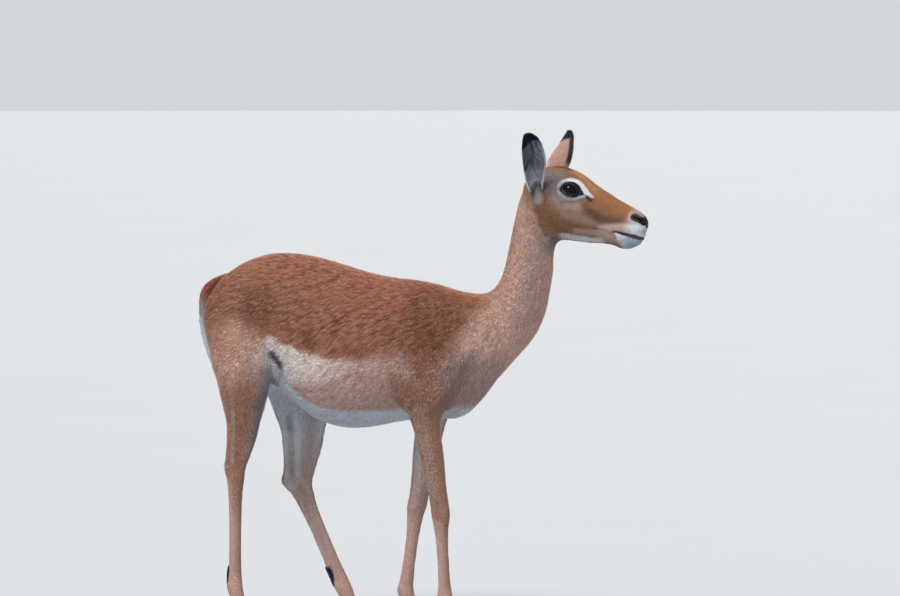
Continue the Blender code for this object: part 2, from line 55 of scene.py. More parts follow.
VOXEL = 0.0054            # fineness at which the lofts are blended
RING_SIDES = 40           # points round each lofted section
LOFT_STEPS = 5            # sections made for each gap between two given ones
JOIN_ROUNDS = 85          # rounds of smoothing where lofts meet
EVEN_ROUNDS = 8           # and everywhere
HEAD_ROUNDS = 3           # and on the head once its mesh is finer
SIDES = (("right", -1), ("left", 1))


def metres(table, first=0, last=None):
    """A table with its columns from first to last turned from millimetres into metres."""
    return tuple(row[:first] + tuple(value / 1000 for value in row[first:last])
                 + (row[last:] if last else ()) for row in table)


# ---------------------------------------------------------------- the animal's measures
EYE_RADIUS = 0.0185
EYE_PLACE = (0.634, 0.0435, 1.0530)
EYE_AXIS = (0.27, 0.95, 0.12)      # where the left eye looks
EYE_SLOPE = math.radians(-14)      # the opening slants down to the nose
LID_THICKNESS = 0.0018
LID_EASE = 0.0016                  # how softly the lids run out into brow and cheek
EAR_THICKNESS = 0.0026
EAR_TRIM = 0.0012                  # of the cup's radius, for the coat over it
EAR_SETBACK = 0.010                # of the cup's floor behind the line from root to tip
CLAW_LENGTH = 0.054
CLAW_HEIGHT = 0.040
CLAW_WIDTH = 0.0185
CLAW_SPACING = 0.0100
TOE_REACH = 0.038
# Claw: height and setback, then length and breadth, all as shares of its measures
CLAW_LEVELS = ((0.0, 0.004, 0.99, 0.90), (0.03, 0.0, 1.0, 0.93), (0.25, 0.10, 0.93, 1.0),
               (0.6, 0.26, 0.80, 0.95), (0.85, 0.38, 0.68, 0.84), (1.0, 0.46, 0.52, 0.60))
TAIL_CORE = 0.62                   # of the tail's width, under its hair
# Ears: root, tip, the direction that the hollow faces, how far the ear bows forward
# and how far its tip is twisted forward, in degrees, all as on the left side
EARS = {
    "right": ((0.548, 0.046, 1.056), (0.566, 0.139, 1.181), (0.45, 0.88, 0.10), 0.0065, 0.0),
    "left": ((0.538, 0.046, 1.056), (0.566, 0.138, 1.182), (-0.12, 0.98, 0.10), 0.0, 48.0),
}
# Place along the ear, half width in metres, half angle of the cup in degrees, share of the bow
EAR_CUP = (
    (-0.12, 0.0145, 120, 0), (0.1, 0.018, 110, 0), (0.26, 0.0232, 86, 0.2), (0.42, 0.0272, 70, 0.8),
    (0.56, 0.0276, 61, 1), (0.7, 0.0262, 54, 1), (0.82, 0.0232, 48, 1), (0.91, 0.0184, 44, 0.8),
    (0.97, 0.0122, 40, 0.4), (1, 0.006, 36, 0),
)
# x, top z, bottom z, half width, height of the widest place (0 bottom, 1 top)
TRUNK = metres((
    (-300, 805, 725, 26, 0.5), (-293, 820, 690, 44, 0.5), (-278, 836, 650, 66, 0.52),
    (-250, 853, 620, 88, 0.54), (-210, 875, 590, 103, 0.56), (-150, 892, 572, 107, 0.52),
    (-90, 893, 540, 112, 0.45), (-30, 885, 497, 124, 0.42), (40, 868, 477, 131, 0.42),
    (110, 850, 480, 126, 0.43), (180, 840, 494, 110, 0.44), (240, 836, 502, 95, 0.45),
    (300, 824, 503, 82, 0.42), (350, 805, 513, 74, 0.42), (400, 780, 560, 62, 0.45),
    (440, 745, 612, 45, 0.5),
), 0, 4)
# Nape x, z, throat x, z, half width, widest place (0 throat, 1 nape)
NECK = metres((
    (190, 838, 330, 540, 70, 0.45), (265, 831, 420, 590, 74, 0.45), (325, 816, 485, 655, 67, 0.48),
    (375, 807, 528, 705, 58, 0.5), (413, 812, 553, 758, 50, 0.5), (440, 838, 566, 812, 44, 0.5),
    (455, 880, 574, 860, 40.5, 0.5), (465, 925, 578, 905, 38.5, 0.5), (475, 975, 590, 950, 38, 0.5),
    (490, 1030, 598, 1000, 37, 0.5), (508, 1070, 600, 1035, 33, 0.5),
), 0, 5)
# Crown x, z, jaw x, z, half width, widest place (0 jaw, 1 crown)
HEAD = metres((
    (500, 1062, 535, 990, 22, 0.55), (515, 1085, 555, 955, 37, 0.58),
    (540, 1102, 580, 936, 45, 0.6), (575, 1108, 602, 932, 50, 0.62),
    (610, 1105, 628, 930, 53, 0.64), (645, 1092, 652, 929, 52, 0.66),
    (680, 1068, 676, 928, 44, 0.6), (712, 1049, 702, 927, 36, 0.52),
    (742, 1032, 726, 923, 28.5, 0.48), (768, 1019, 749, 915, 24.5, 0.48),
    (789, 1009, 768, 915, 23, 0.52), (803, 999, 785, 923, 21.5, 0.55),
    (811, 987, 799, 938, 16.5, 0.52), (814, 976, 808, 955, 8.5, 0.5),
), 0, 5)
# Joints of the legs from hip or blade to hoof, as x, y, z of the left side
FORE_JOINTS = {
    "right": metres(((262, 22, 800), (320, 60, 665), (282, 74, 540),
                     (318, 72, 292), (331, 72, 88), (352, 73, 38))),
    "left": metres(((252, 22, 800), (295, 60, 665), (250, 74, 540),
                    (198, 68, 297), (169, 66, 88), (186, 67, 38))),
}
HIND_JOINTS = {
    "right": metres(((-215, 30, 835), (-222, 56, 735), (-182, 80, 580),
                     (-214, 73, 378), (-214, 76, 88), (-196, 79, 38))),
    "left": metres(((-210, 30, 835), (-210, 56, 735), (-112, 80, 565),
                    (-113, 64, 336), (3, 74, 88), (22, 77, 38))),
}
# Bone (0 blade or hip, 1 arm or thigh, 2 forearm or shank, 3 cannon, 4 pastern),
# place along it, reach to the front, reach to the back, half width
FORE_SECTIONS = metres((
    (0, 0, 30, 30, 12), (0, 0.3, 60, 60, 26), (0, 0.65, 78, 85, 36), (1, 0, 74, 105, 39),
    (1, 0.45, 70, 100, 39), (1, 0.8, 62, 80, 37), (2, 0.05, 46, 60, 34), (2, 0.16, 34, 49, 31),
    (2, 0.32, 30, 42, 27.5), (2, 0.55, 28, 35, 24), (2, 0.75, 25, 28, 21), (2, 0.92, 25, 24, 21),
    (3, 0.05, 24, 24, 20.5), (3, 0.18, 20, 21, 16.5), (3, 0.4, 16.5, 17.5, 13.5),
    (3, 0.7, 16, 17.5, 13), (3, 0.9, 17.5, 19.5, 15.5), (4, 0.05, 19, 22.5, 18),
    (4, 0.4, 18, 20, 17.5), (4, 0.8, 20, 18, 18), (4, 1.15, 16, 17, 16.5),
), 2)
HIND_SECTIONS = metres((
    (0, 0, 40, 40, 14), (0, 0.45, 80, 78, 36), (1, 0, 92, 92, 46), (1, 0.35, 96, 94, 47),
    (1, 0.7, 88, 96, 44), (2, 0.05, 76, 91, 39), (2, 0.25, 72, 70, 33), (2, 0.45, 64, 49, 26.5),
    (2, 0.65, 57, 41, 22), (2, 0.85, 44, 38, 19.5), (3, 0, 33, 38, 19), (3, 0.1, 27, 28, 17.5),
    (3, 0.22, 21.5, 23.5, 15), (3, 0.45, 19, 20.5, 13), (3, 0.75, 18, 20.5, 13),
    (3, 0.9, 19, 23, 15.5), (4, 0.05, 20, 24, 17.5), (4, 0.4, 18.5, 21, 17),
    (4, 0.8, 20, 18.5, 17.5), (4, 1.15, 16, 17, 16),
), 2)
# Where lofts meet and the surface is eased: x, y of the left side, z, radius
SOFT_JOINS = metres((
    (260, 60, 760, 150), (330, 80, 600, 130), (190, 100, 580, 100), (-220, 60, 820, 130),
    (-120, 90, 660, 110), (-290, 60, 680, 100), (420, 30, 660, 120), (560, 30, 970, 80),
    (280, 40, 500, 60), (-150, 30, 560, 90),
))
# Tail: x, z, half depth, half width
TAIL = metres((
    (-256, 840, 16, 20), (-290, 826, 18, 22), (-315, 803, 20, 23), (-324, 768, 20, 23),
    (-324, 725, 19, 23), (-314, 675, 18, 24), (-296, 625, 17, 23), (-283, 580, 13, 17),
    (-277, 555, 6, 8),
))
# Swellings and hollows of both sides: x, y, z, for a long one x, y, z of its other end,
# radius, height
FORMS = metres((
    (395, 66, 655, 55, 4),  # point of the shoulder
    (235, 95, 610, 60, 6),  # upper arm muscle
    (270, 70, 760, 55, 3),  # shoulder blade
    (380, 60, 745, 55, -4),  # hollow before it
    (-135, 90, 838, 40, 5),  # hip bone
    (-90, 110, 735, 70, -8),  # hollow of the flank
    (-285, 60, 780, 45, 3),  # point of the buttock
    (645, 55, 1070, 24, 5),  # brow over the eye
    (632, 55, 1030, 22, 3),  # cheekbone
    (692, 36, 1030, 32, -3),  # hollow ahead of the eye
    (605, 48, 965, 36, 3),  # jaw muscle
    (700, 33, 960, 36, -3),  # hollow of the cheek
    (801, 17, 985, 15, 3),  # wing of the nostril
    (262, 80, 790, 330, 85, 690, 22, 3),  # spine of the blade
    (225, 90, 760, 205, 105, 660, 30, -2.5),  # hollow behind the blade
    (300, 95, 590, 215, 100, 640, 26, -2.5),  # between arm and elbow
    (218, 95, 560, 232, 95, 545, 20, 3.5),  # elbow
    (400, 50, 600, 340, 70, 540, 28, 3),  # breast muscle
    (440, 45, 700, 330, 80, 600, 20, -3),  # groove before the arm
    (520, 40, 960, 470, 52, 750, 18, -2),  # groove of the neck
    (545, 30, 900, 520, 40, 760, 20, 1.5),  # windpipe
    (565, 30, 950, 545, 38, 1000, 16, -3),  # behind the jaw
    (-98, 95, 672, -85, 70, 615, 10, -8.5),  # gap behind the flank fold
    (-70, 105, 690, -58, 95, 610, 20, 3),  # flank fold
    (-235, 105, 720, -255, 90, 600, 16, -2.2),  # groove of the thigh
    (-190, 110, 700, -185, 112, 620, 40, 3),  # thigh muscle
    (-265, 85, 700, -262, 80, 620, 22, 2.5),  # back of the thigh
    (660, 50, 1082, 615, 56, 1086, 11, 2.2),  # edge of the brow
    (668, 46, 1030, 610, 55, 1020, 8, -1.4),  # fold under the lid
    (676, 42, 1041, 690, 39, 1033, 5.5, -2.8),  # gland before the eye
    (700, 40, 1010, 630, 53, 1008, 12, 2.2),  # ridge of the cheek
    (740, 28, 1022, 680, 40, 1056, 8, 1.2),  # edge of the nose bone
    (770, 27, 985, 730, 33, 985, 14, 1.2),  # side of the muzzle
    (775, 16, 932, 790, 8, 930, 14, 2.5),  # chin
    (804, 0, 942, 796, 12, 943, 9, 3),  # front of the lower lip
    (812, 0, 958, 808, 8, 957, 8, -2.2),  # under the nose
    (752, 22, 930, 745, 10, 922, 10, -1.6),  # behind the chin
    (600, 40, 945, 660, 36, 936, 10, 1.2),  # edge of the jaw
    (560, 45, 985, 575, 48, 1015, 14, -1.6),  # behind the cheek
    (575, 0, 1112, 610, 0, 1110, 16, 1),  # crown
    (798, 14, 964, 775, 22, 964, 8, 1.6),  # upper lip
    (792, 12, 944, 768, 20, 946, 6, 1.4),  # lower lip
    (740, 30, 957, 650, 45, 972, 6, -0.8),  # line behind the mouth
))
# Faint ribs: x of their tops, how far back each foot lies, y, heights above the ground
RIB_TOPS = (0.185, 0.152, 0.119, 0.086, 0.053, 0.020, -0.013)
RIB_LEAN = 0.035
RIB_SIDE = 0.115
RIB_HEIGHTS = (0.72, 0.585)
RIB_RADIUS = 0.014
RIB_RISE = 0.0007
# Fine rolls of skin round the forearms
ROLL_SPACING = 0.011
ROLL_SLANT = 25.0         # of the rolls' turns for each metre forward
ROLL_RISE = 0.00035
ROLL_RADIUS = 0.030       # of the place where they show
# Forms of the legs: bone, place at the start and end, ahead and out at the start,
# ahead and out at the end, radius, height
FORE_FORMS = metres((
    (2, 0.05, 0.5, 20, 30, 15, 24, 14, 2),  # front muscle, outer
    (2, 0.08, 0.45, -20, 28, -15, 22, 12, 2.2),  # back muscle, outer
    (2, 0.1, 0.8, 0, 30, 0, 22, 7, -1.6),  # groove between, outer
    (2, 0.12, 0.75, 5, -26, 3, -21, 8, -1.4),
    (2, 0.97, 1.03, 16, 0, 16, 0, 16, 1.8),  # front of the knee
    (2, 0.99, 1.04, -18, 4, -20, 0, 9, 1.8),  # back of the knee
    (3, 0.2, 0.85, -8, 13, -8, 12, 4.5, -1.3), (3, 0.2, 0.85, -8, -13, -8, -12, 4.5, -1.3),
    (3, 0.97, 1, -14, 10, -14, -10, 9, 1.6),  # fetlock
    (4, 0.45, 0.55, -13, 0, -13, 0, 8, -1.6),  # hollow of the pastern
), 3)
HIND_FORMS = metres((
    (2, 0.45, 0.95, -22, 24, -16, 18, 8, -4.2),  # before the heel tendon
    (2, 0.45, 0.95, -22, -24, -16, -18, 8, -4.2),
    (2, 0.3, 0.8, 30, 26, 20, 19, 12, 1.8),  # shin muscle
    (2, 0.2, 0.5, -10, 34, -8, 26, 10, 1.6),
    (2, 0.1, 0.2, 60, 22, 58, 18, 18, 3),  # knee cap
    (3, -0.02, 0.05, -30, 0, -28, 0, 10, 1.8),  # point of the hock
    (3, 0.02, 0.08, 4, 18, 4, 17, 10, 1.4), (3, 0.18, 0.85, -9, 13, -9, 12, 4.5, -1.4),
    (3, 0.18, 0.85, -9, -13, -9, -12, 4.5, -1.4), (3, 0.97, 1, -15, 10, -15, -10, 9, 1.6),
    (4, 0.45, 0.55, -13, 0, -13, 0, 8, -1.6),
), 3)
# Line of the left nostril
NOSTRIL = metres((
    (786, 18.5, 992), (795, 19, 988), (803.5, 16.5, 983),
))
NOSTRIL_RADIUS = 0.0028
NOSTRIL_DEPTH = 0.0080
# Line between the lips and lower edge of the black lip under it: x, z; chin's edge: z, x
MOUTH = metres((
    (737, 957.2), (754, 954.2), (770, 951.5), (787, 948.8), (799, 944), (830, 940),
))
LOWER_LIP = metres((
    (737, 956.2), (760, 948.2), (780, 942.5), (795, 939), (830, 936.5),
))
CHIN_EDGE = metres((
    (915, 757), (925, 751), (939, 745), (952, 740), (960, 736),
))
MOUTH_RADIUS = 0.0024
MOUTH_DEPTH = 0.0048
# Creases of the lids: half length and half height of their ring, its width, depths
CREASE_RING = (0.0235, 0.0170)
CREASE_WIDTH = 0.085      # as a share of the ring
UPPER_CREASE = 0.0016
LOWER_CREASE = 0.0008
PUPIL_RING = (0.0075, 0.0040)      # half length and half height
IRIS_RADIUS = 0.0128
# Outlines round the eye, to the front and up from its middle: black skin, pale hair,
# and the opening between the lids
BLACK_LIDS = metres((
    (-23.5, -4.7), (-22.2, 7), (-14.2, 15.4), (-2.2, 19.4), (9.8, 19.2), (20.6, 15), (29, 6.6),
    (38, -0.9), (28.2, -7), (9.4, -13.2), (-9.5, -13),
))
PALE_RING = metres((
    (-27.5, -2.8), (-27.8, 8.4), (-22, 18.6), (-11, 25.6), (4, 28.8), (18, 27), (30, 20),
    (43, 10.2), (60, -0.9), (50, -3.7), (40, -4.7), (30, -11.2), (16, -19.5), (0, -21.5),
    (-16, -17.2), (-24.5, -10),
))
RING_MIDDLE = (0.0050, 0.0030)
OPENING = metres((
    (-17.2, 0.9), (-15, 7.5), (-8.5, 12.1), (0, 13.6), (8.5, 11.6), (14, 6.9), (17.8, -0.9),
    (15, -6.3), (8, -10.1), (-1, -11.8), (-10, -9.5), (-15.5, -4.8),
))

# ---------------------------------------------------------------- the coat
# Its size and its lie; places between are blends of these.
# x, y, z, reach, tuft length, width, depth of the coat, lie's x and z
COAT = metres((
    (-200, 0, 880, 100, 15, 1.9, 3.4, -1, -0.25), (50, 0, 860, 120, 15, 1.9, 3.4, -1, -0.3),
    (50, 120, 700, 140, 15, 1.9, 3.4, -1, -0.8), (50, 120, 580, 80, 14, 1.9, 3.4, -1, -0.45),
    (50, 0, 480, 90, 15, 1.8, 3.4, -1, 0), (-200, 100, 760, 80, 15, 1.9, 3.4, -0.9, -0.8),
    (-200, 100, 640, 80, 13, 1.8, 3.2, -0.5, -1), (-200, 80, 500, 80, 10, 1.4, 2.6, -0.2, -1),
    (-160, 70, 380, 80, 8.5, 1.2, 2.1, -0.1, -1), (-100, 70, 200, 100, 7, 1, 1.6, -0.1, -1),
    (-80, 70, 60, 70, 6.5, 1, 1.5, -0.1, -1), (270, 80, 780, 70, 15, 1.9, 3.4, -1, -0.6),
    (280, 90, 640, 80, 14, 1.8, 3.4, -0.55, -1), (400, 40, 560, 70, 15, 1.8, 3.4, -0.4, -1),
    (260, 80, 500, 60, 11, 1.4, 2.6, -0.2, -1), (260, 70, 380, 80, 8.5, 1.2, 2, -0.1, -1),
    (260, 70, 200, 100, 7, 1, 1.6, -0.1, -1), (260, 70, 60, 70, 6.5, 1, 1.5, -0.1, -1),
    (400, 60, 760, 70, 14, 1.8, 3.4, -0.7, -0.9), (480, 40, 850, 90, 12.5, 1.6, 3.2, -0.42, -1),
    (530, 40, 980, 60, 10, 1.4, 2.6, -0.42, -1), (580, 30, 950, 40, 8, 1.2, 2, -0.8, -0.5),
    (530, 30, 1060, 40, 8, 1.2, 2.2, -0.7, -0.6), (580, 30, 1100, 40, 6.5, 1, 1.6, -1, 0.05),
    (630, 50, 1020, 40, 5.5, 0.9, 1.3, -1, -0.15), (640, 60, 1055, 20, 3.4, 0.6, 0.8, -1, 0.1),
    (680, 40, 1050, 40, 5, 0.8, 1.2, -0.93, 0.37), (680, 30, 950, 40, 5.5, 0.9, 1.3, -1, 0.05),
    (750, 20, 1010, 40, 4.2, 0.7, 1, -0.93, 0.37), (790, 20, 960, 30, 3.6, 0.6, 0.9, -0.9, -0.1),
    (780, 10, 930, 30, 4.2, 0.7, 1, -0.8, -0.5), (-310, 0, 780, 30, 20, 1.6, 3.4, 0.1, -1),
    (-310, 0, 650, 60, 26, 1.6, 4, 0.15, -1),
), 0, 7)
TUFT_COUNTS = {"head": 49000, "ears": 24000, "neck": 34000, "trunk_left": 38000,
               "trunk_right": 38000, "forelegs": 34000, "hindlegs": 42000}
WIDEST_TUFT = 0.0019      # where the locks show most
BRIGHTEST = 0.92          # of a tuft's colour
PATCH = 0.0015            # half the size of a tuft's patch on the map
HAIR_CORNERS = (0.5, 2.6, 4.7)     # turns of a long hair's three edges
# Long hair: how many locks and their half width
TAIL_LOCKS, TAIL_LOCK_WIDTH = 3600, 0.0011
HEEL_LOCKS, HEEL_LOCK_WIDTH = 420, 0.0010          # on each hind leg
EAR_LOCKS, EAR_LOCK_WIDTH = 1100, 0.0006           # in each ear
LASHES, LASH_WIDTH = 46, 0.00032                   # on each upper lid

# Colours, linear
RED = (0.355, 0.135, 0.078)
SHOULDER = (0.200, 0.080, 0.036)
FLANK = (0.590, 0.400, 0.345)
FLANK_PALE = (0.880, 0.790, 0.770)
HAUNCH_LOW = (0.680, 0.410, 0.320)
NECK_FAWN = (0.790, 0.500, 0.410)
LEG_FAWN = (0.460, 0.255, 0.190)
CANNON_FAWN = (0.660, 0.430, 0.370)
WITHERS = (0.380, 0.150, 0.060)
WHITE = (0.770, 0.800, 0.860)
# Painted shade: blue laid on the white of chin and belly where they are in shade
BLUE_SHADE = (0.340, 0.465, 0.650)
# Painted shade: blue grey under jaw and chin, at the flank's fold and on the eye's pale ring
BLUE_GREY_SHADE = (0.300, 0.320, 0.390)
# Painted shade: deep slate for the shadow under the jaw and the hollow inside the hind shank
SLATE_SHADE = (0.085, 0.135, 0.215)
BLACK = (0.005, 0.006, 0.009)
LID_BLACK = (0.004, 0.008, 0.018)
# Painted shade: bluish grey of the ear's hollow
EAR_HOLLOW_SHADE = (0.145, 0.190, 0.275)
FACE_TAN = (0.285, 0.140, 0.072)
FACE_ORANGE = (0.380, 0.165, 0.070)
FACE_MAUVE = (0.400, 0.290, 0.265)
FACE_DARK = (0.110, 0.062, 0.042)
# Painted shade: grey on temple, throat, chest and the front of the hind legs
GREY_SHADE = (0.245, 0.230, 0.265)
PALE_PINK = (0.600, 0.490, 0.490)
BROW = (0.500, 0.235, 0.110)
EAR_TAN = (0.520, 0.325, 0.250)
EYE_BROWN = (0.0025, 0.0030, 0.0045)
PUPIL = (0.002, 0.002, 0.003)

# Soft round patches: colour, strength, x, y, z, and radii along x, y, z
FLANK_PATCHES = metres((
    (FLANK_PALE, 0.6, -30, 110, 635, 130, 60, 50), (FLANK_PALE, 0.7, -65, 110, 640, 55, 50, 55),
), 2)
# Painted shade on the saddle: over the shoulder blade, ahead of it and before the hip
SADDLE_SHADE_PATCHES = metres((
    (SHOULDER, 0.75, 300, 80, 765, 80, 90, 80), (SHOULDER, 0.7, 345, 70, 695, 60, 80, 60),
    (SHOULDER, 0.5, -145, 100, 755, 45, 80, 65),
), 2)
# Painted shade on the chest below the point of the shoulder, and a painted shadow under the jaw
THROAT_SHADE_PATCHES = metres((
    (GREY_SHADE, 0.38, 400, 50, 610, 100, 80, 70), (SLATE_SHADE, 0.55, 592, 15, 925, 22, 30, 20),
), 2)
# Painted shade behind the chin
CHIN_SHADE_PATCHES = metres(((BLUE_GREY_SHADE, 0.45, 765, 20, 925, 30, 20, 18),), 2)
# Streaks: colour, strength, x, y, z of both ends, radius, softness
WITHERS_TONES = metres(((WITHERS, 0.65, 330, 30, 800, 410, 30, 785, 22, 0.8),), 2, 9)
# Painted shade over the upper arm
UPPER_ARM_SHADE = metres(((SHOULDER, 0.5, 310, 100, 690, 270, 90, 560, 55, 0.9),), 2, 9)
BODY_TONES = metres((
    (PALE_PINK, 0.6, 232, 110, 650, 240, 110, 625, 20, 0.8),
    (PALE_PINK, 0.55, 219, 100, 574, 243, 90, 527, 7, 0.8),
    (HAUNCH_LOW, 0.6, -205, 110, 705, -200, 110, 660, 32, 0.8),
    # a dark line of painted shade under the thigh muscle, a pale line just behind it
    (SHOULDER, 0.35, -185, 110, 621, -145, 110, 579, 7, 0.8),
    (PALE_PINK, 0.4, -195, 110, 615, -155, 110, 572, 6, 0.8),
    # painted shade down the back of the thigh, into the hollow before the heel tendon
    (SHOULDER, 0.3, -235, 100, 600, -215, 100, 470, 10, 0.8),
    (RED, 0.35, 360, 0, 810, 420, 0, 800, 45, 0.9),
    # painted shade along the throat
    (GREY_SHADE, 0.36, 565, 35, 930, 520, 45, 760, 30, 0.9),
    (FACE_MAUVE, 0.5, 475, 35, 980, 440, 40, 840, 18, 0.9),
), 2, 9)
# Those at the fold between flank and thigh: white hair and painted shade
FOLD_TONES = metres((
    # blue-grey painted shade down the thigh's front edge
    (BLUE_GREY_SHADE, 0.5, -110, 103, 665, -115, 101, 570, 12, 0.8),
    (WHITE, 0.75, -106, 104, 690, -86, 104, 655, 9, 0.8),
    (WHITE, 0.8, -80, 104, 648, -64, 104, 600, 8, 0.8),
    # blue-grey painted shade under the fold, then black painted shade in its gap
    (BLUE_GREY_SHADE, 0.6, -88, 98, 625, -76, 98, 585, 8, 0.8),
    (BLACK, 0.99, -100, 104, 659, -80, 102, 634, 8.8, 0.8),
    (BLACK, 0.8, -80, 102, 634, -74, 102, 616, 4, 0.8),
), 2, 9)
# Those of the face, under and over the eyes' rings
FACE_UNDER = metres((
    # painted shade on the temple
    (GREY_SHADE, 0.8, 568, 40, 1075, 597, 43, 1062, 24, 0.8),
    (GREY_SHADE, 0.45, 590, 36, 1088, 604, 34, 1090, 14, 0.8),
    (FACE_ORANGE, 0.7, 566, 42, 1026, 580, 45, 1012, 19, 0.9),
    (WHITE, 0.7, 545, 48, 1066, 553, 42, 1036, 13, 0.6),
    (FACE_TAN, 0.8, 575, 42, 985, 640, 44, 982, 18, 0.9),
    (FACE_DARK, 0.22, 590, 42, 980, 650, 44, 982, 14, 0.9),
    (FACE_MAUVE, 0.85, 598, 50, 1030, 655, 50, 1010, 17, 0.8),
    (FACE_MAUVE, 0.6, 625, 45, 998, 690, 32, 976, 10, 0.8),
    (FACE_ORANGE, 0.85, 690, 22, 1048, 765, 14, 1005, 18, 0.8),
    (FACE_TAN, 0.6, 690, 36, 1019, 765, 24, 990, 10, 0.9),
    (FACE_DARK, 0.62, 672, 46, 1016, 700, 36, 992, 8.5, 0.9),
    (FACE_DARK, 0.66, 700, 36, 990, 752, 25, 979, 8.5, 0.9),
    (PALE_PINK, 0.8, 706, 28, 965, 776, 23, 970, 8.5, 0.7),
    (FACE_DARK, 0.6, 645, 40, 973, 700, 28, 964.5, 1.8, 0.6),
    (FACE_DARK, 0.7, 700, 28, 964.5, 738, 22, 957, 1.6, 0.6),
    (PALE_PINK, 0.45, 645, 34, 958, 730, 22, 949, 6.5, 0.7),
    (WHITE, 0.9, 612, 21, 945, 665, 16, 939, 11, 0.5),
    (WHITE, 0.9, 665, 16, 939, 702, 12, 936, 8.5, 0.6),
    # painted shade under the jaw
    (BLUE_GREY_SHADE, 0.45, 575, 20, 935, 600, 18, 930, 18, 0.8),
), 2, 9)
FACE_OVER = metres((
    (BROW, 0.75, 634, 14, 1094, 652, 14, 1085, 7.5, 0.7),
    (BROW, 0.75, 652, 14, 1085, 690, 22, 1053, 8, 0.7),
    (PALE_PINK, 0.6, 786, 4, 1007, 802, 2, 998, 10, 0.9),
    (PALE_PINK, 0.85, 779, 18, 999, 775, 21, 984, 6.5, 1),
    (PALE_PINK, 0.5, 705, 18, 940, 745, 16, 938, 9, 0.9),
    (PALE_PINK, 0.9, 784, 21, 979, 800, 18, 976, 10, 0.9),
    # painted shade in the crease behind and over the eye
    (FACE_DARK, 0.7, 611, 50, 1067, 617, 42, 1081, 2, 0.7),
    (FACE_DARK, 0.7, 617, 42, 1081, 632, 34, 1090, 2, 0.7),
    (BLACK, 0.92, 590, 1, 1107, 618, 2, 1102, 8, 0.8),
    (BLACK, 0.85, 676, 37, 1037, 683, 34, 1030, 4.5, 0.5),
), 2, 9)
# Streaks of the legs: colour, strength, bone, place at the start and end, ahead and out at
# the start, ahead and out at the end, radius
FORE_TONES = metres((
    (RED, 0.35, 2, 0.05, 0.85, 22, 26, 18, 16, 13),
    (PALE_PINK, 0.8, 2, 0.02, 0.8, -45, 6, -24, 4, 12),
    (FACE_MAUVE, 0.55, 2, 0.02, 0.9, 0, 30, 0, 22, 16),
    # painted shade in the groove between the forearm's outer muscles
    (FACE_DARK, 0.22, 2, 0.12, 0.8, 0, 31, 0, 22, 5),
    (FACE_DARK, 0.25, 2, 0.9, 1.02, 6, 20, 6, 20, 9), (RED, 0.4, 3, 0.06, 0.85, 18, 4, 14, 4, 9),
    (PALE_PINK, 0.7, 3, 0.1, 0.8, -10, 8, -10, 8, 10),
), 5)
HIND_TONES = metres((
    (SHOULDER, 0.45, 2, 0.02, 0.9, 20, 36, 10, 24, 24),
    # painted shade in the hollows before the heel tendon, outside and inside
    (FACE_DARK, 0.4, 2, 0.4, 0.95, -22, 25, -16, 18, 6),
    (FACE_DARK, 0.4, 2, 0.4, 0.95, -22, -25, -16, -18, 6),
    (LEG_FAWN, 0.8, 2, 0.2, 0.98, -56, -6, -36, -4, 7),
    # a painted highlight on the heel tendon
    (PALE_PINK, 0.75, 2, 0.3, 0.98, -50, 12, -34, 10, 8),
    # painted shade in the inner hollow
    (SLATE_SHADE, 0.4, 2, 0.3, 0.85, -26, -26, -18, -20, 9),
    # a painted highlight on the inner shank
    (WHITE, 0.6, 2, 0.3, 0.9, -6, -28, 2, -20, 6),
    (FACE_MAUVE, 0.55, 2, 0.1, 0.9, 34, -28, 22, -20, 18),
    (PALE_PINK, 0.45, 2, 0.3, 0.9, -4, 30, 2, 20, 7),
    (SHOULDER, 0.4, 2, 0.02, 0.6, 60, 26, 50, 16, 20),
    # the first streak on the line below: painted shade along the shank's front edge
    (GREY_SHADE, 0.4, 2, 0.05, 0.8, 66, 6, 44, 4, 12), (RED, 0.35, 3, 0.06, 0.85, 18, 4, 14, 4, 9),
    (PALE_PINK, 0.7, 3, 0.1, 0.8, -10, 8, -10, 8, 10),
    (FACE_MAUVE, 0.5, 3, 0.06, 0.85, 0, -16, 0, -14, 12),
), 5)
# Dark streaks in the ears: turn round the cup, lean, lowest and highest place, half width
# The third streak is painted shade in a crease across the hollow, the fifth painted shade deep in
# its base
EAR_STREAKS = (
    (0.18, -0.24, 0.54, 0.84, 0.13), (0.8, -0.28, 0.6, 0.84, 0.1), (-0.35, 0, 0.445, 0.465, 0.42),
    (-0.82, 0, 0.36, 0.44, 0.14), (0.23, 0, 0.2, 0.27, 0.12),
)
# Edges of the markings: the saddle's lower edge (x, z), its softness (x, width) and its
# front (z, x); the belly's white (x, z); the inner legs' white (z, share); the rear's (z, y)
SADDLE_EDGE = metres((
    (-300, 690), (-220, 700), (-170, 704), (-137, 704), (-106, 700), (-27, 672), (50, 654),
    (128, 652), (180, 664), (220, 655), (300, 630), (360, 690), (420, 780),
))
SADDLE_SOFTNESS = metres(((-250, 85), (-150, 55), (-100, 9), (160, 11), (240, 60), (400, 60)))
SADDLE_FRONT = metres(((600, 380), (690, 460), (750, 490), (800, 510)))
BELLY_EDGE = metres((
    (-120, 660), (-97, 638), (-77, 608), (-53, 576), (-19, 548), (20, 530), (72, 525),
    (149, 527), (214, 534), (300, 540), (374, 542), (420, 530),
))
INNER_WHITE = metres(((150, 0.20), (300, 0.22), (380, 0.45), (460, 1.00)), 0, 1)
REAR_WHITE = metres(((550, 46), (700, 44), (800, 30), (840, 8)))
FOLD_HEIGHT = 0.64        # where the thighs' front edges are compared
LID_SOFTNESS = 0.0010     # of the black skin's edge round the eyes
SKIN_SHADE = 0.80         # of the skin under the coat, against the tufts' colours


# ---------------------------------------------------------------- helpers
def smoothstep(low, high, value):
    t = np.clip((value - low) / (high - low), 0.0, 1.0)
    return t * t * (3.0 - 2.0 * t)


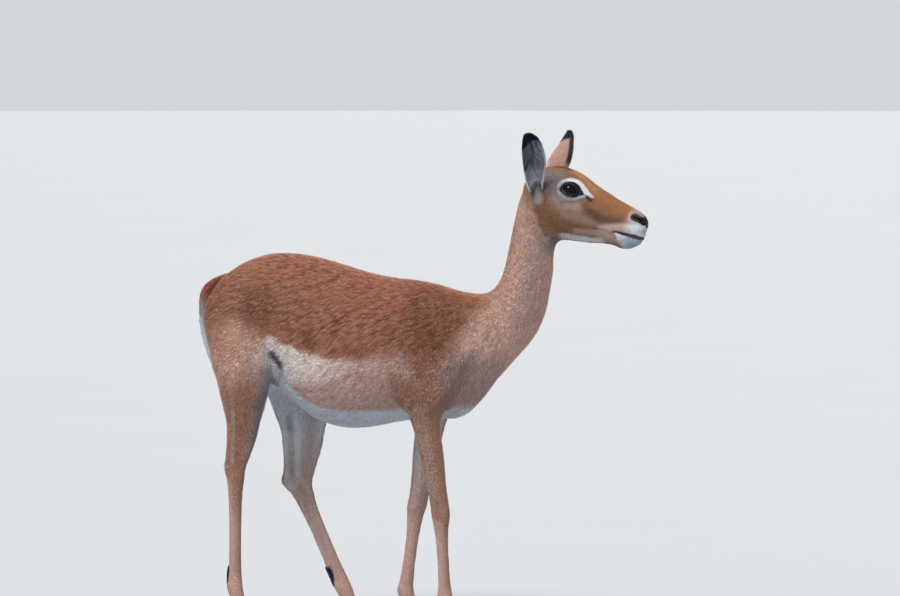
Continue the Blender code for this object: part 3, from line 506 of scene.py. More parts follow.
def between_rows(value, table):
    """The second column of a two-column table at values of its first."""
    return np.interp(value, *np.array(table).T)


def mirrored(points):
    """The points with both sides of the animal laid on the left one."""
    return np.column_stack((points[:, 0], np.abs(points[:, 1]), points[:, 2]))


def lengths(vectors):
    return np.linalg.norm(vectors, axis=1)


def unit(vectors):
    return vectors / np.maximum(lengths(vectors), 1e-9)[:, None]


def line_distance(points, start, end):
    """Distance of each point from a line between two places."""
    start, end = np.array(start), np.array(end)
    run = end - start
    t = np.clip((points - start) @ run / max(float(run @ run), 1e-12), 0.0, 1.0)
    return lengths(points - start - t[:, None] * run)


def path_distance(points, path):
    lines = zip(path[:-1], path[1:])
    return np.min([line_distance(points, start, end) for start, end in lines], axis=0)


def swung(x, y, ahead, out, turn, side=1):
    """x and y of a place ahead of and out from another, turned outwards, on its side."""
    return (x + ahead * math.cos(turn) - out * math.sin(turn),
            side * (y + ahead * math.sin(turn) + out * math.cos(turn)))


def circle(count):
    """Angles evenly round a circle."""
    return [2 * math.pi * i / count for i in range(count)]


def read(items, attribute, width=1, kind=float):
    """One attribute of all items of a mesh, as an array."""
    values = np.empty(len(items) * width, dtype=kind)
    items.foreach_get(attribute, values)
    return values.reshape(-1, width) if width > 1 else values


def surface_of(mesh):
    """Points and normals of a mesh."""
    return read(mesh.vertices, "co", 3), read(mesh.vertices, "normal", 3)


def set_points(mesh, points):
    mesh.vertices.foreach_set("co", points.ravel())
    mesh.update()


def raise_surface(body, height):
    """Move the surface out by the height that a function gives its points."""
    points, normals = surface_of(body.data)
    set_points(body.data, points + normals * height(points)[:, None])


def add_object(name, data):
    item = bpy.data.objects.new(name, data)
    bpy.context.scene.collection.objects.link(item)
    return item


def finished(name, mesh, material, smooth=False):
    """A piece of the model: its mesh with its material."""
    mesh.materials.append(material)
    if smooth:
        mesh.shade_smooth()
    return add_object(name, mesh)


def bake_modifiers(item):
    """Apply an object's modifiers to its own mesh."""
    graph = bpy.context.evaluated_depsgraph_get()
    graph.update()
    mesh = bpy.data.meshes.new_from_object(item.evaluated_get(graph))
    item.modifiers.clear()
    item.data = mesh


def boolean(item, mesh, operation):
    other = add_object("other", mesh)
    cut = item.modifiers.new(operation.lower(), "BOOLEAN")
    cut.operation = operation
    cut.solver = "MANIFOLD"
    cut.object = other
    bake_modifiers(item)
    bpy.data.objects.remove(other, do_unlink=True)


def mesh_of(form, name="form"):
    """The mesh that a bmesh holds; the bmesh is freed."""
    mesh = bpy.data.meshes.new(name)
    form.to_mesh(mesh)
    form.free()
    return mesh


def form_of(mesh):
    form = bmesh.new()
    form.from_mesh(mesh)
    return form


def smooth_rows(rows, between):
    """Rows of numbers with `between` more rows on a smooth curve in each gap."""
    rows = np.array(rows, dtype=float)
    tangents = np.gradient(rows, axis=0)
    out = []
    for start, end, lead, tail in zip(rows[:-1], rows[1:], tangents[:-1], tangents[1:]):
        for t in np.linspace(0.0, 1.0, between + 1, endpoint=False):
            out.append((2 * t**3 - 3 * t**2 + 1) * start + (t**3 - 2 * t**2 + t) * lead
                       + (3 * t**2 - 2 * t**3) * end + (t**3 - t**2) * tail)
    return np.array(out + [rows[-1]])


def bridge(form, rings, closed=True, looped=False):
    """Points in rings with faces between neighbouring rings. The rings are closed or open
    rows, and looped ones end where they start."""
    rows = [[form.verts.new(point) for point in ring] for ring in rings]
    for low, high in zip(rows, rows[1:] + rows[:1] if looped else rows[1:]):
        for i in range(len(low) if closed else len(low) - 1):
            j = (i + 1) % len(low)
            form.faces.new((low[i], low[j], high[j], high[i]))
    return rows


def loft_mesh(rings):
    """A closed mesh through rings of equal point counts, capped at both ends."""
    form = bmesh.new()
    rows = bridge(form, rings)
    form.faces.new(list(reversed(rows[0])))
    form.faces.new(rows[-1])
    bmesh.ops.recalc_face_normals(form, faces=form.faces)
    return mesh_of(form)


# ---------------------------------------------------------------- legs
class Leg:
    """One leg. Its measures are those of the left side; `side` is -1 on the right."""

    def __init__(self, name, side, joints, sections, forms, tones, turn):
        self.name, self.side, self.joints = name, side, np.array(joints)
        self.sections, self.forms, self.tones, self.turn = sections, forms, tones, turn
        self.hind = name.startswith("hind")

    def section(self, bone, place):
        """Centre, slant and twist of the leg at a place along a bone."""
        start, end = self.joints[bone], self.joints[bone + 1]
        slant = np.linalg.norm(end - start) / abs(end[2] - start[2])
        return start + (end - start) * place, slant, self.turn * min(1.0, (bone + place) / 2)

    def spot(self, bone, place, ahead=0.0, out=0.0):
        """A place along a bone, ahead of it and out from it."""
        (x, y, z), _, twist = self.section(bone, place)
        return (*swung(x, y, ahead, out, twist, self.side), z)

    def line(self, bone, place, end, ahead, out, end_ahead, end_out):
        return self.spot(bone, place, ahead, out), self.spot(bone, end, end_ahead, end_out)

    def rows(self):
        """Centre, reach to the front and back, half width and twist of each section."""
        for bone, place, front, back, width in self.sections:
            centre, slant, twist = self.section(bone, place)
            yield (*centre, front * slant, back * slant, width, twist)

    def front_edge(self, height):
        """x of the leg's front edge at a height above the ground."""
        return between_rows(height, sorted((row[2], row[0] + row[3]) for row in self.rows()))

    def mesh(self):
        """A loft down to the hoof. Each section is level, turned out by its twist."""
        rings = []
        for x, y, z, front, back, width, twist in smooth_rows(list(self.rows()), LOFT_STEPS):
            rings.append([(*swung(x, y, math.cos(a) * (front if math.cos(a) > 0 else back),
                                  math.sin(a) * width, twist, self.side), z)
                          for a in circle(RING_SIDES)])
        return loft_mesh(rings)


LEGS = [Leg(kind + "leg_" + name, side, joints[name], *measures)
        for name, side in SIDES
        for kind, joints, *measures in (
            ("fore", FORE_JOINTS, FORE_SECTIONS, FORE_FORMS, FORE_TONES, math.radians(14)),
            ("hind", HIND_JOINTS, HIND_SECTIONS, HIND_FORMS, HIND_TONES, math.radians(23)))]


# ---------------------------------------------------------------- the body's form
def profile_ring(upper, lower, half_width, widest):
    """Egg-shaped section between two profile points, widest part way between."""
    upper, lower = np.array(upper), np.array(lower)
    middle = lower + (upper - lower) * widest
    ring = []
    for angle in circle(RING_SIDES):
        rise = math.sin(angle)
        x, z = middle + (upper - middle if rise > 0 else middle - lower) * rise
        ring.append((x, half_width * math.cos(angle), z))
    return ring


def spine_mesh(stations):
    """A loft through stations: two profile points, half width and widest place."""
    return loft_mesh([profile_ring((ax, az), (bx, bz), width, widest)
                      for ax, az, bx, bz, width, widest in smooth_rows(stations, LOFT_STEPS)])


def tail_mesh():
    return loft_mesh([[(x + TAIL_CORE * depth * math.cos(a), TAIL_CORE * width * math.sin(a), z)
                       for a in circle(20)] for x, z, depth, width in smooth_rows(TAIL, 4)])


def body_form():
    """All the lofts of the body, blended into one smooth closed form."""
    trunk = [(x, top, x, bottom, *rest) for x, top, bottom, *rest in TRUNK]
    meshes = [spine_mesh(rows) for rows in (trunk, NECK, HEAD)] + [leg.mesh() for leg in LEGS]
    joined = bmesh.new()
    for mesh in meshes:
        joined.from_mesh(mesh)
        bpy.data.meshes.remove(mesh)
    body = add_object("skin", mesh_of(joined))
    blend = body.modifiers.new("blend", "REMESH")
    blend.mode = "VOXEL"
    blend.voxel_size = VOXEL
    bake_modifiers(body)
    return body


def ease(body, iterations, weights=None):
    """Smooth the surface, where there are weights by their share."""
    smooth = body.modifiers.new("ease", "SMOOTH")
    smooth.factor = 0.5
    smooth.iterations = iterations
    if weights is not None:
        group = body.vertex_groups.new(name="eased")
        for index in np.nonzero(weights > 0.01)[0]:
            group.add([int(index)], float(weights[index]), "REPLACE")
        smooth.vertex_group = "eased"
    bake_modifiers(body)
    body.vertex_groups.clear()


def soften_joins(body):
    """Smooth the surface most where two lofts meet, and a little everywhere."""
    places = mirrored(surface_of(body.data)[0])
    weights = np.zeros(len(places))
    for *centre, radius in SOFT_JOINS:
        distance = lengths(places - centre) / radius
        weights = np.maximum(weights, np.clip(1.35 - distance, 0.0, 1.0))
    ease(body, JOIN_ROUNDS, weights)
    ease(body, EVEN_ROUNDS)


def refine(body, wanted):
    """Halve the mesh's edges where `wanted` says so of the mirrored places."""
    form = form_of(body.data)
    inside = wanted(mirrored(np.array([vertex.co for vertex in form.verts])))
    edges = [edge for edge in form.edges if all(inside[v.index] for v in edge.verts)]
    bmesh.ops.subdivide_edges(form, edges=edges, cuts=1, use_grid_fill=True)
    form.to_mesh(body.data)
    form.free()


def head_zone(p):
    return (p[:, 2] > 0.905) & (p[:, 0] > 0.50)


def fine_zone(p):
    by_eye = lengths(p - (0.645, 0.055, 1.050)) < 0.045
    by_lips = lengths(p - (0.790, 0.010, 0.965)) < 0.052
    return by_eye | by_lips


def strokes(points, lines):
    """Height that swellings and hollows along lines give each point."""
    return sum(height * np.exp(-(1.6 * line_distance(points, start, end) / radius) ** 2)
               for start, end, radius, height in lines)


def muscles_and_bones(points):
    """Height of the forms of the body, the ribs, the legs and the forearms' fine rolls."""
    folded = mirrored(points)
    top, foot = RIB_HEIGHTS
    ribs = [((x, RIB_SIDE, top), (x - RIB_LEAN, RIB_SIDE, foot), RIB_RADIUS, RIB_RISE)
            for x in RIB_TOPS]
    forms = [(row[:3], row[-5:-2], *row[-2:]) for row in FORMS]
    legs = [(*leg.line(*row[:-2]), *row[-2:]) for leg in LEGS for row in leg.forms]
    rolls = np.sin(points[:, 2] * 2 * math.pi / ROLL_SPACING + ROLL_SLANT * points[:, 0])
    wrinkles = np.zeros(len(points))
    for leg in LEGS:
        if not leg.hind:
            forearm = leg.line(2, 0.12, 0.50, 0.0, 0.030, 0.0, 0.024)
            near = np.exp(-(line_distance(points, *forearm) / ROLL_RADIUS) ** 2)
            wrinkles += ROLL_RISE * near * rolls
    return strokes(folded, forms) + (strokes(folded, ribs) + strokes(points, legs) + wrinkles)


def coat_values(points):
    """The coat's length, width, depth and lie at the points, blended from its table."""
    folded = mirrored(points)
    total = np.full(len(points), 1e-9)
    values = np.zeros((len(points), 5))
    for row in COAT:
        distance = lengths(folded - row[:3]) / row[3]
        weight = np.exp(-distance ** 2) + 1e-4 / (1.0 + distance ** 4)
        total += weight
        values += weight[:, None] * np.array(row[4:])
    return values / total[:, None]


# ---------------------------------------------------------------- eyes and lids
def eye_axes(side):
    """Centre of an eye, the way it looks, its front and its up."""
    centre = Vector((EYE_PLACE[0], side * EYE_PLACE[1], EYE_PLACE[2]))
    look = Vector((EYE_AXIS[0], side * EYE_AXIS[1], EYE_AXIS[2])).normalized()
    front = Vector((math.cos(EYE_SLOPE), 0.0, math.sin(EYE_SLOPE)))
    front = (front - look * front.dot(look)).normalized()
    up = Vector((-front.z, 0.0, front.x))
    up = (up - look * up.dot(look) - front * up.dot(front)).normalized()
    return centre, look, front, up


def eye_frame(points, side):
    """Places as seen by an eye: to its front, up and out."""
    centre, look, front, up = (np.array(axis) for axis in eye_axes(side))
    return tuple((points - centre) @ axis for axis in (front, up, look))


def opening(between=5):
    """The almond between the lids, rounded through its named points."""
    rows = smooth_rows(OPENING[-2:] + OPENING + OPENING[:3], between)
    return rows[2 * (between + 1):-2 * (between + 1) - 1]


def on_ball(side, along, high, radius):
    """The place on a ball round the eye that shows at `along`, `high`."""
    centre, look, front, up = eye_axes(side)
    out = math.sqrt(max(radius ** 2 - along ** 2 - high ** 2, 0.0))
    return centre + front * along + up * high + look * out


def wrap_lids(body):
    """Push the skin out over each eyeball, easing into the brow and cheek."""
    points = surface_of(body.data)[0]
    radius = EYE_RADIUS + LID_THICKNESS
    for _, side in SIDES:
        centre = np.array(eye_axes(side)[0])
        away = points - centre
        distance = lengths(away)
        gap = distance - radius
        pushed = radius + 0.5 * (gap + np.sqrt(gap ** 2 + 4 * LID_EASE ** 2))
        share = (smoothstep(-0.004, 0.004, eye_frame(points, side)[2])
                 * smoothstep(0.040, 0.032, distance))
        scale = 1.0 + (pushed / np.maximum(distance, 1e-6) - 1.0) * share
        points = centre + away * scale[:, None]
    set_points(body.data, points)


def lid_folds(points):
    """A crease round the upper lid and a shallow one below."""
    height = np.zeros(len(points))
    for _, side in SIDES:
        along, high, out = eye_frame(points, side)
        ring = np.sqrt((along / CREASE_RING[0]) ** 2 + (high / CREASE_RING[1]) ** 2)
        crease = np.exp(-((ring - 1.0) / CREASE_WIDTH) ** 2) * (out > 0)
        height -= crease * np.where(high > 0, UPPER_CREASE, LOWER_CREASE)
    return height


def opening_cutter(side):
    centre, look, front, up = eye_axes(side)
    return loft_mesh([[centre + look * out + front * along + up * high
                       for along, high in opening()] for out in (0.004, 0.045)])


# ---------------------------------------------------------------- ears
def ear_axes(name, side):
    """Root, tip, the way along, the way the hollow faces and the way to the front edge."""
    root, tip, opens = (Vector((x, side * y, z)) for x, y, z in EARS[name][:3])
    along = (tip - root).normalized()
    opens = (opens - along * opens.dot(along)).normalized()
    return root, tip, along, opens, opens.cross(along) * side


def ear_shape(name, place):
    """Radius, half angle, bow and twist of the cup at places along the ear."""
    table = np.array(EAR_CUP)
    half_width, spread, bow = (np.interp(place, table[:, 0], table[:, c]) for c in (1, 2, 3))
    radius = half_width / np.sin(np.radians(np.minimum(spread, 90)))
    twist = math.radians(EARS[name][4]) * smoothstep(0.30, 1.0, place)
    return radius, np.radians(spread), EARS[name][3] * bow, twist


def ear_point(name, side, place, turn, lift=0.0):
    """A place on the cup, `lift` inside it: `turn` runs from -1 behind to 1 in front."""
    root, tip, _, opens, across = ear_axes(name, side)
    radius, spread, bow, twist = (float(value) for value in ear_shape(name, place))
    radius = max(radius - EAR_TRIM, 0.003)
    angle = spread * turn
    sideways = (radius - lift) * math.sin(angle)
    depth = radius - (radius - lift) * math.cos(angle) - EAR_SETBACK
    facing = opens * math.cos(twist) + across * math.sin(twist)
    level = across * math.cos(twist) - opens * math.sin(twist)
    return root.lerp(tip, place) + across * bow + level * sideways + facing * depth


def ear_mesh(name, side):
    """A leaf-shaped cup of even thickness, a tube at its root."""
    columns = 30
    places = smooth_rows([row[:1] for row in EAR_CUP], 5)[:, 0]
    form = bmesh.new()
    bridge(form, [[ear_point(name, side, min(place, 0.988), 2 * i / columns - 1)
                   for i in range(columns + 1)] for place in places], closed=False)
    ear = add_object("ear", mesh_of(form))
    shell = ear.modifiers.new("shell", "SOLIDIFY")
    shell.thickness = EAR_THICKNESS
    shell.offset = 0.0
    bake_modifiers(ear)
    form = form_of(ear.data)
    bpy.data.objects.remove(ear)
    bmesh.ops.remove_doubles(form, verts=form.verts, dist=1e-5)
    bmesh.ops.recalc_face_normals(form, faces=form.faces)
    return mesh_of(form)


def ear_frame(points, name, side):
    """For each point: place along the ear, turn round the cup from -1 at the rear edge to 1
    at the front one, height over the cup's floor and whether it is on the ear at all."""
    root, tip, along, opens, across = (np.array(v) for v in ear_axes(name, side))
    from_root = points - root
    place = from_root @ along / np.linalg.norm(tip - root)
    radius, spread, bow, twist = ear_shape(name, place)
    x, y = from_root @ across - bow, from_root @ opens
    sideways = x * np.cos(twist) - y * np.sin(twist)
    depth = x * np.sin(twist) + y * np.cos(twist) + EAR_SETBACK - radius
    angle = np.arctan2(sideways, -depth)
    height = radius - np.hypot(sideways, depth)
    on_ear = ((place > 0.03) & (place < 1.2) & (np.abs(height) < 0.006)
              & (np.abs(angle) < spread + 0.25) & (points[:, 1] * side > 0.048))
    return place, angle / spread, height, on_ear


# ---------------------------------------------------------------- the whole skin
def carving(points):
    """Nostrils and the line of the mouth."""
    slit = path_distance(mirrored(points), NOSTRIL)
    lips = path_distance(points[:, (0, 2)], MOUTH)
    return (-NOSTRIL_DEPTH * np.exp(-(1.3 * slit / NOSTRIL_RADIUS) ** 2)
            - MOUTH_DEPTH * np.exp(-(1.3 * lips / MOUTH_RADIUS) ** 2))


def build_skin():
    """The body's form, finer on the head, drawn in by the coat's depth, with all openings."""
    body = body_form()
    soften_joins(body)
    refine(body, head_zone)
    on_head = head_zone(mirrored(surface_of(body.data)[0]))
    ease(body, HEAD_ROUNDS, on_head.astype(float))
    raise_surface(body, muscles_and_bones)
    raise_surface(body, lambda points: -coat_values(points)[:, 2])
    refine(body, fine_zone)
    wrap_lids(body)
    raise_surface(body, lid_folds)
    raise_surface(body, carving)
    boolean(body, tail_mesh(), "UNION")
    for name, side in SIDES:
        boolean(body, ear_mesh(name, side), "UNION")
        boolean(body, opening_cutter(side), "DIFFERENCE")
    return body


# ---------------------------------------------------------------- markings
def paint(base, colour, mask):
    """Lay a colour over the colours in `base`, as far as the mask says."""
    base += (np.array(colour) - base) * np.clip(mask, 0.0, 1.0)[:, None]


def blob(points, centre, radii):
    """1 at the middle of a soft ellipsoid, falling to 0 outside it."""
    return smoothstep(1.25, 0.6, lengths((points - centre) / np.array(radii)))


def streak(points, start, end, radius, soft):
    distance = line_distance(points, start, end)
    return smoothstep(radius * (1 + soft), radius * (1 - soft), distance)


def paint_blobs(colour, points, table, share=1.0):
    for tone, strength, *centre, x, y, z in table:
        paint(colour, tone, strength * share * blob(points, centre, (x, y, z)))


def paint_streaks(colour, points, table):
    for tone, strength, *line, radius, soft in table:
        paint(colour, tone, strength * streak(points, line[:3], line[3:], radius, soft))


def value_noise(points, size, seed):
    """Smooth noise from about -1 to 1: a sum of waves in seeded directions."""
    rng = np.random.default_rng(seed)
    total = np.zeros(len(points))
    for _ in range(9):
        way = rng.normal(size=3)
        way /= np.linalg.norm(way)
        total += np.sin(points @ way * (2 * math.pi / size) * rng.uniform(0.6, 1.7)
                        + rng.uniform(0, 2 * math.pi))
    return total / 4.0


def leg_share(points):
    """How far a place belongs to a leg and not to the trunk, and how far it lies ahead of
    the leg's middle, in the leg's own depth."""
    share, ahead = np.zeros(len(points)), np.full(len(points), -9.0)
    for leg in LEGS:
        rows = np.array(list(leg.rows()))[::-1]
        middle, out, front, back = (np.interp(points[:, 2], rows[:, 2], rows[:, column])
                                    for column in (0, 1, 3, 4))
        depth = points[:, 0] - middle
        reach = depth / np.where(depth > 0, front, back)
        own = smoothstep(1.14, 0.92, np.abs(reach))
        own *= smoothstep(-0.034, -0.014, points[:, 1] * leg.side - out)
        own *= smoothstep(0.80, 0.70, points[:, 2])
        ahead = np.where(own > share, reach, ahead)
        share = np.maximum(share, own)
    return share, ahead


def saddle_markings(colour, p):
    """Red-brown saddle, sharp along the flank and fading over haunch, shoulder and neck."""
    x, _, z = p.T
    ragged = value_noise(p, 0.030, 21)
    over_edge = z - between_rows(x, SADDLE_EDGE) + 0.003 * ragged
    behind_front = between_rows(z, SADDLE_FRONT) - x + 0.012 * ragged
    saddle = (smoothstep(-1.0, 1.0, over_edge / between_rows(x, SADDLE_SOFTNESS))
              * smoothstep(0.0, 0.16, behind_front))
    paint(colour, RED, saddle)
    paint_streaks(colour, p, WITHERS_TONES)
    # painted shade over the shoulder and before the hip, only where the saddle is
    paint_blobs(colour, p, SADDLE_SHADE_PATCHES, saddle)


def body_markings(points, normals):
    """Colour of trunk, neck and legs."""
    p = mirrored(points)
    x, _, z = p.T
    leg, ahead = leg_share(points)
    hind = leg * (x < 0)
    colour = np.tile(np.array(FLANK), (len(p), 1))
    paint_blobs(colour, p, FLANK_PATCHES)
    paint(colour, NECK_FAWN, smoothstep(0.36, 0.46, x) * smoothstep(0.50, 0.60, z))
    paint(colour, LEG_FAWN, leg * smoothstep(0.72, 0.56, z))
    paint(colour, CANNON_FAWN, 0.8 * leg * smoothstep(0.32, 0.22, z))
    paint(colour, HAUNCH_LOW, hind * smoothstep(0.56, 0.62, z) * smoothstep(0.78, 0.70, z)
          * smoothstep(0.55, 0.05, ahead))
    saddle_markings(colour, p)
    # painted shade over the upper arm
    paint_streaks(colour, p, UPPER_ARM_SHADE)
    # Painted shade down the front of each hind leg
    paint(colour, GREY_SHADE, 0.62 * hind * smoothstep(0.35, 0.85, ahead)
          * smoothstep(0.40, 0.50, z) * smoothstep(0.66, 0.60, z))
    paint_streaks(colour, p, BODY_TONES)
    # painted shade on the chest and under the jaw
    paint_blobs(colour, p, THROAT_SHADE_PATCHES)
    belly_markings(colour, p, normals, leg)
    fold_markings(colour, points)
    rear_markings(colour, p, normals)
    return colour


def belly_markings(colour, p, normals, leg):
    """White below, rising behind the flank, and white inner legs."""
    x, _, z = p.T
    white = smoothstep(0.006, -0.006, z - between_rows(x, BELLY_EDGE)) * (1 - leg)
    paint(colour, WHITE, white * smoothstep(0.45, 0.41, x))
    # Painted shade: the belly's white tinted blue
    paint(colour, BLUE_SHADE, 0.25 * white * smoothstep(0.45, 0.41, x))
    inner = smoothstep(0.15, -0.40, normals[:, 1]) * smoothstep(0.10, 0.30, z)
    inner *= np.maximum(leg, smoothstep(0.475, 0.455, z))
    hind = smoothstep(0.12, 0.04, x)
    paint(colour, WHITE, inner * between_rows(z, INNER_WHITE) * (0.45 + 0.50 * hind))


def fold_markings(colour, points):
    """White hair and dark painted shade where the thigh meets the flank, placed on each side by
    how far forward that thigh is."""
    right, left = (leg for leg in LEGS if leg.hind)
    for leg in (right, left):
        shift = leg.front_edge(FOLD_HEIGHT) - right.front_edge(FOLD_HEIGHT)
        paint_streaks(colour, points * (1.0, leg.side, 1.0) - (shift, 0.0, 0.0), FOLD_TONES)


def rear_markings(colour, p, normals):
    """White round the tail and down between the thighs, with a black line each side."""
    x, y, z = p.T
    behind = smoothstep(0.20, 0.55, -normals[:, 0]) * smoothstep(-0.19, -0.21, x)
    from_edge = y - between_rows(z, REAR_WHITE)
    low = behind * smoothstep(0.48, 0.60, z)
    paint(colour, WHITE, 0.95 * low * smoothstep(0.004, -0.004, from_edge)
          * smoothstep(0.830, 0.800, z))
    paint(colour, PALE_PINK, 0.60 * low * smoothstep(0.80, 0.70, z)
          * smoothstep(0.022, 0.008, np.abs(from_edge - 0.014)))
    line = smoothstep(0.0062, 0.0046, np.abs(from_edge)) * smoothstep(0.57, 0.63, z)
    paint(colour, BLACK, behind * line * smoothstep(0.835, 0.815, z))


def leg_markings(colour, points):
    """Dark coronets, black brushes above the hind fetlocks and the legs' own streaks."""
    for leg in LEGS:
        x, y, _ = leg.spot(4, 1.0)
        near = np.hypot(points[:, 0] - x, points[:, 1] - y) < 0.06
        paint(colour, FACE_DARK, 0.75 * (smoothstep(0.054, 0.046, points[:, 2]) * near))
        if leg.hind:
            brush = leg.line(3, 0.860, 0.920, -0.021, 0.0, -0.023, 0.0)
            paint(colour, BLACK, streak(points, *brush, 0.0145, 0.35))
        for tone, strength, *line, radius in leg.tones:
            paint(colour, tone, strength * streak(points, *leg.line(*line), radius, 0.7))


def tail_markings(colour, points, normals):
    """White tail with a black line down its back."""
    x, y, z = points.T
    middle = between_rows(z, [(row[1], row[0]) for row in TAIL[::-1]])
    near = smoothstep(0.030, 0.024, np.hypot(x - middle, y))
    on_tail = near * smoothstep(0.785, 0.735, z) * (z > 0.54)
    paint(colour, WHITE, on_tail)
    line = smoothstep(0.0085, 0.0050, np.abs(y)) * smoothstep(0.1, 0.4, -normals[:, 0])
    paint(colour, BLACK, on_tail * line * smoothstep(0.60, 0.66, z))


def polar_mask(along, high, outline, soft, grow=0.0):
    """1 inside an outline round the eye, given to the front and up from its middle."""
    middle = np.array(RING_MIDDLE)
    spokes = np.array(outline) - middle
    turns = np.arctan2(spokes[:, 1], spokes[:, 0])
    order = np.argsort(turns)
    reach = np.interp(np.arctan2(high - middle[1], along - middle[0]), turns[order],
                      np.hypot(*spokes[order].T), period=2 * math.pi)
    return smoothstep(soft, -soft, np.hypot(along - middle[0], high - middle[1]) - reach - grow)


def eye_markings(colour, points):
    """Black skin and a pale ring round each eye."""
    for _, side in SIDES:
        along, high, out = eye_frame(points, side)
        facing = smoothstep(0.006, 0.012, points[:, 1] * side) * (np.abs(out) < 0.05)
        pale = polar_mask(along, high, PALE_RING, 0.0030) * facing
        below = smoothstep(0.006, -0.008, high) * smoothstep(0.044, 0.034, along)
        behind = smoothstep(-0.008, -0.024, along)
        paint(colour, WHITE, 0.92 * pale)
        paint(colour, FLANK_PALE, 0.70 * pale * behind)
        # Painted shade greys the pale ring below the eye, and less behind it
        paint(colour, BLUE_GREY_SHADE, 0.70 * pale * np.maximum(below, 0.7 * behind))
        paint(colour, LID_BLACK, facing * polar_mask(along, high, BLACK_LIDS, LID_SOFTNESS))


def nose_mask(p):
    """Bare pad between and round the nostrils."""
    side = line_distance(p, (0.7835, 0.0165, 0.9920), (0.8055, 0.0125, 0.9805)) / 0.0086
    middle = line_distance(p, (0.8070, 0.0, 0.9850), (0.8130, 0.0, 0.9740)) / 0.0098
    nearest = -np.log(np.exp(-6.0 * side) + np.exp(-6.0 * middle)) / 6.0
    return smoothstep(1.08, 0.92, nearest)


def lip_mask(p):
    """Black skin between the upper lip's edge and the lower lip's."""
    x, _, z = p.T
    inside = np.minimum(between_rows(x, MOUTH) + 0.0012 - z, z - between_rows(x, LOWER_LIP))
    return smoothstep(-0.0008, 0.0008, inside) * smoothstep(0.734, 0.742, x)


def face_markings(colour, points):
    """Face, muzzle, lips and rings of the eyes."""
    p = mirrored(points)
    x, _, z = p.T
    on_head = smoothstep(-0.030, 0.030, (x - 0.525) * 0.9 + (z - 1.02) * 0.45) * (z > 0.90)
    paint(colour, FACE_TAN, on_head)
    paint_streaks(colour, p, FACE_UNDER)
    eye_markings(colour, points)
    paint_streaks(colour, p, FACE_OVER)
    below = smoothstep(0.001, -0.001, z - between_rows(x, LOWER_LIP))
    chin = smoothstep(-0.003, 0.003, x - between_rows(z, CHIN_EDGE))
    paint(colour, WHITE, below * chin)
    # Painted shade: the chin tinted blue, and greyer behind it
    paint(colour, BLUE_SHADE, 0.80 * below * smoothstep(0.755, 0.775, x))
    paint_blobs(colour, p, CHIN_SHADE_PATCHES, below)
    lip_white = smoothstep(0.980, 0.970, z) * smoothstep(0.748, 0.786, x) * (1 - below)
    paint(colour, WHITE, 0.95 * lip_white * (z > 0.935))
    paint(colour, BLACK, nose_mask(p))
    paint(colour, BLACK, 0.95 * lip_mask(p))


def ear_markings(colour, points):
    """Slate painted shade in the hollow, dark streaks, tan back, black tip, black front streak."""
    for name, side in SIDES:
        place, turn, height, on_ear = ear_frame(points, name, side)
        inside = on_ear * smoothstep(-0.0004, 0.0006, height)
        outside = on_ear * (1 - inside)
        paint(colour, EAR_TAN, outside)
        paint(colour, BROW, 0.35 * outside * smoothstep(0.6, 0.1, place))
        # painted shade: the hollow in bluish grey
        paint(colour, EAR_HOLLOW_SHADE, inside)
        rear = smoothstep(-0.40, -0.80, turn) * smoothstep(0.44, 0.32, place)
        front = smoothstep(0.70, 0.95, turn) * smoothstep(0.80, 0.70, place)
        foot = smoothstep(0.36, 0.22, place)
        paint(colour, WHITE, 0.85 * on_ear * np.maximum(rear, 0.85 * foot * inside))
        paint(colour, FLANK_PALE, 0.60 * on_ear * front)
        for across, lean, low, high, width in EAR_STREAKS:
            middle = across + lean * (place - low) / (high - low)
            dark = (smoothstep(width, width * 0.4, np.abs(turn - middle))
                    * smoothstep(low - 0.05, low + 0.05, place)
                    * smoothstep(high + 0.05, high - 0.05, place))
            paint(colour, BLACK, 0.92 * inside * dark)
        streak_front = smoothstep(0.50, 0.62, turn) * smoothstep(0.40, 0.50, place)
        paint(colour, BLACK, 0.95 * outside * streak_front)
        rim = smoothstep(0.88, 0.95, turn) * smoothstep(0.92, 0.86, place)
        paint(colour, FLANK_PALE, 0.75 * outside * rim)
        lap = smoothstep(0.45, 0.60, np.abs(turn)) * smoothstep(0.36, 0.26, place)
        paint(colour, WHITE, 0.40 * outside * lap)
        tip = smoothstep(-0.015, 0.015, place - 0.80 - 0.06 * turn)
        paint(colour, BLACK, on_ear * tip)


def markings(points, normals):
    """Colour of the coat at any place on the skin."""
    turned = normals.copy()
    turned[:, 1] *= np.sign(points[:, 1] + 1e-9)
    colour = body_markings(points, turned)
    leg_markings(colour, points)
    tail_markings(colour, points, normals)
    face_markings(colour, points)
    ear_markings(colour, points)
    return colour


def bareness(points):
    """1 where no hair grows: nose pad, lips, lid edges."""
    folded = mirrored(points)
    bare = np.maximum(nose_mask(folded), lip_mask(folded))
    for _, side in SIDES:
        along, high, _ = eye_frame(points, side)
        lids = polar_mask(along, high, BLACK_LIDS, LID_SOFTNESS, -0.0035)
        bare = np.maximum(bare, lids * (points[:, 1] * side > 0.01))
    return bare


# ---------------------------------------------------------------- tufts
class Surface:
    """The skin's triangles, as arrays to scatter on."""

    def __init__(self, mesh):
        mesh.calc_loop_triangles()
        self.corners = read(mesh.loop_triangles, "vertices", 3, int)
        self.loops = read(mesh.loop_triangles, "loops", 3, int)
        self.polygons = read(mesh.loop_triangles, "polygon_index", 1, int)
        self.points, self.normals = surface_of(mesh)
        a, b, c = (self.points[self.corners[:, i]] for i in range(3))
        self.areas = 0.5 * lengths(np.cross(b - a, c - a))
        self.middles = (a + b + c) / 3.0


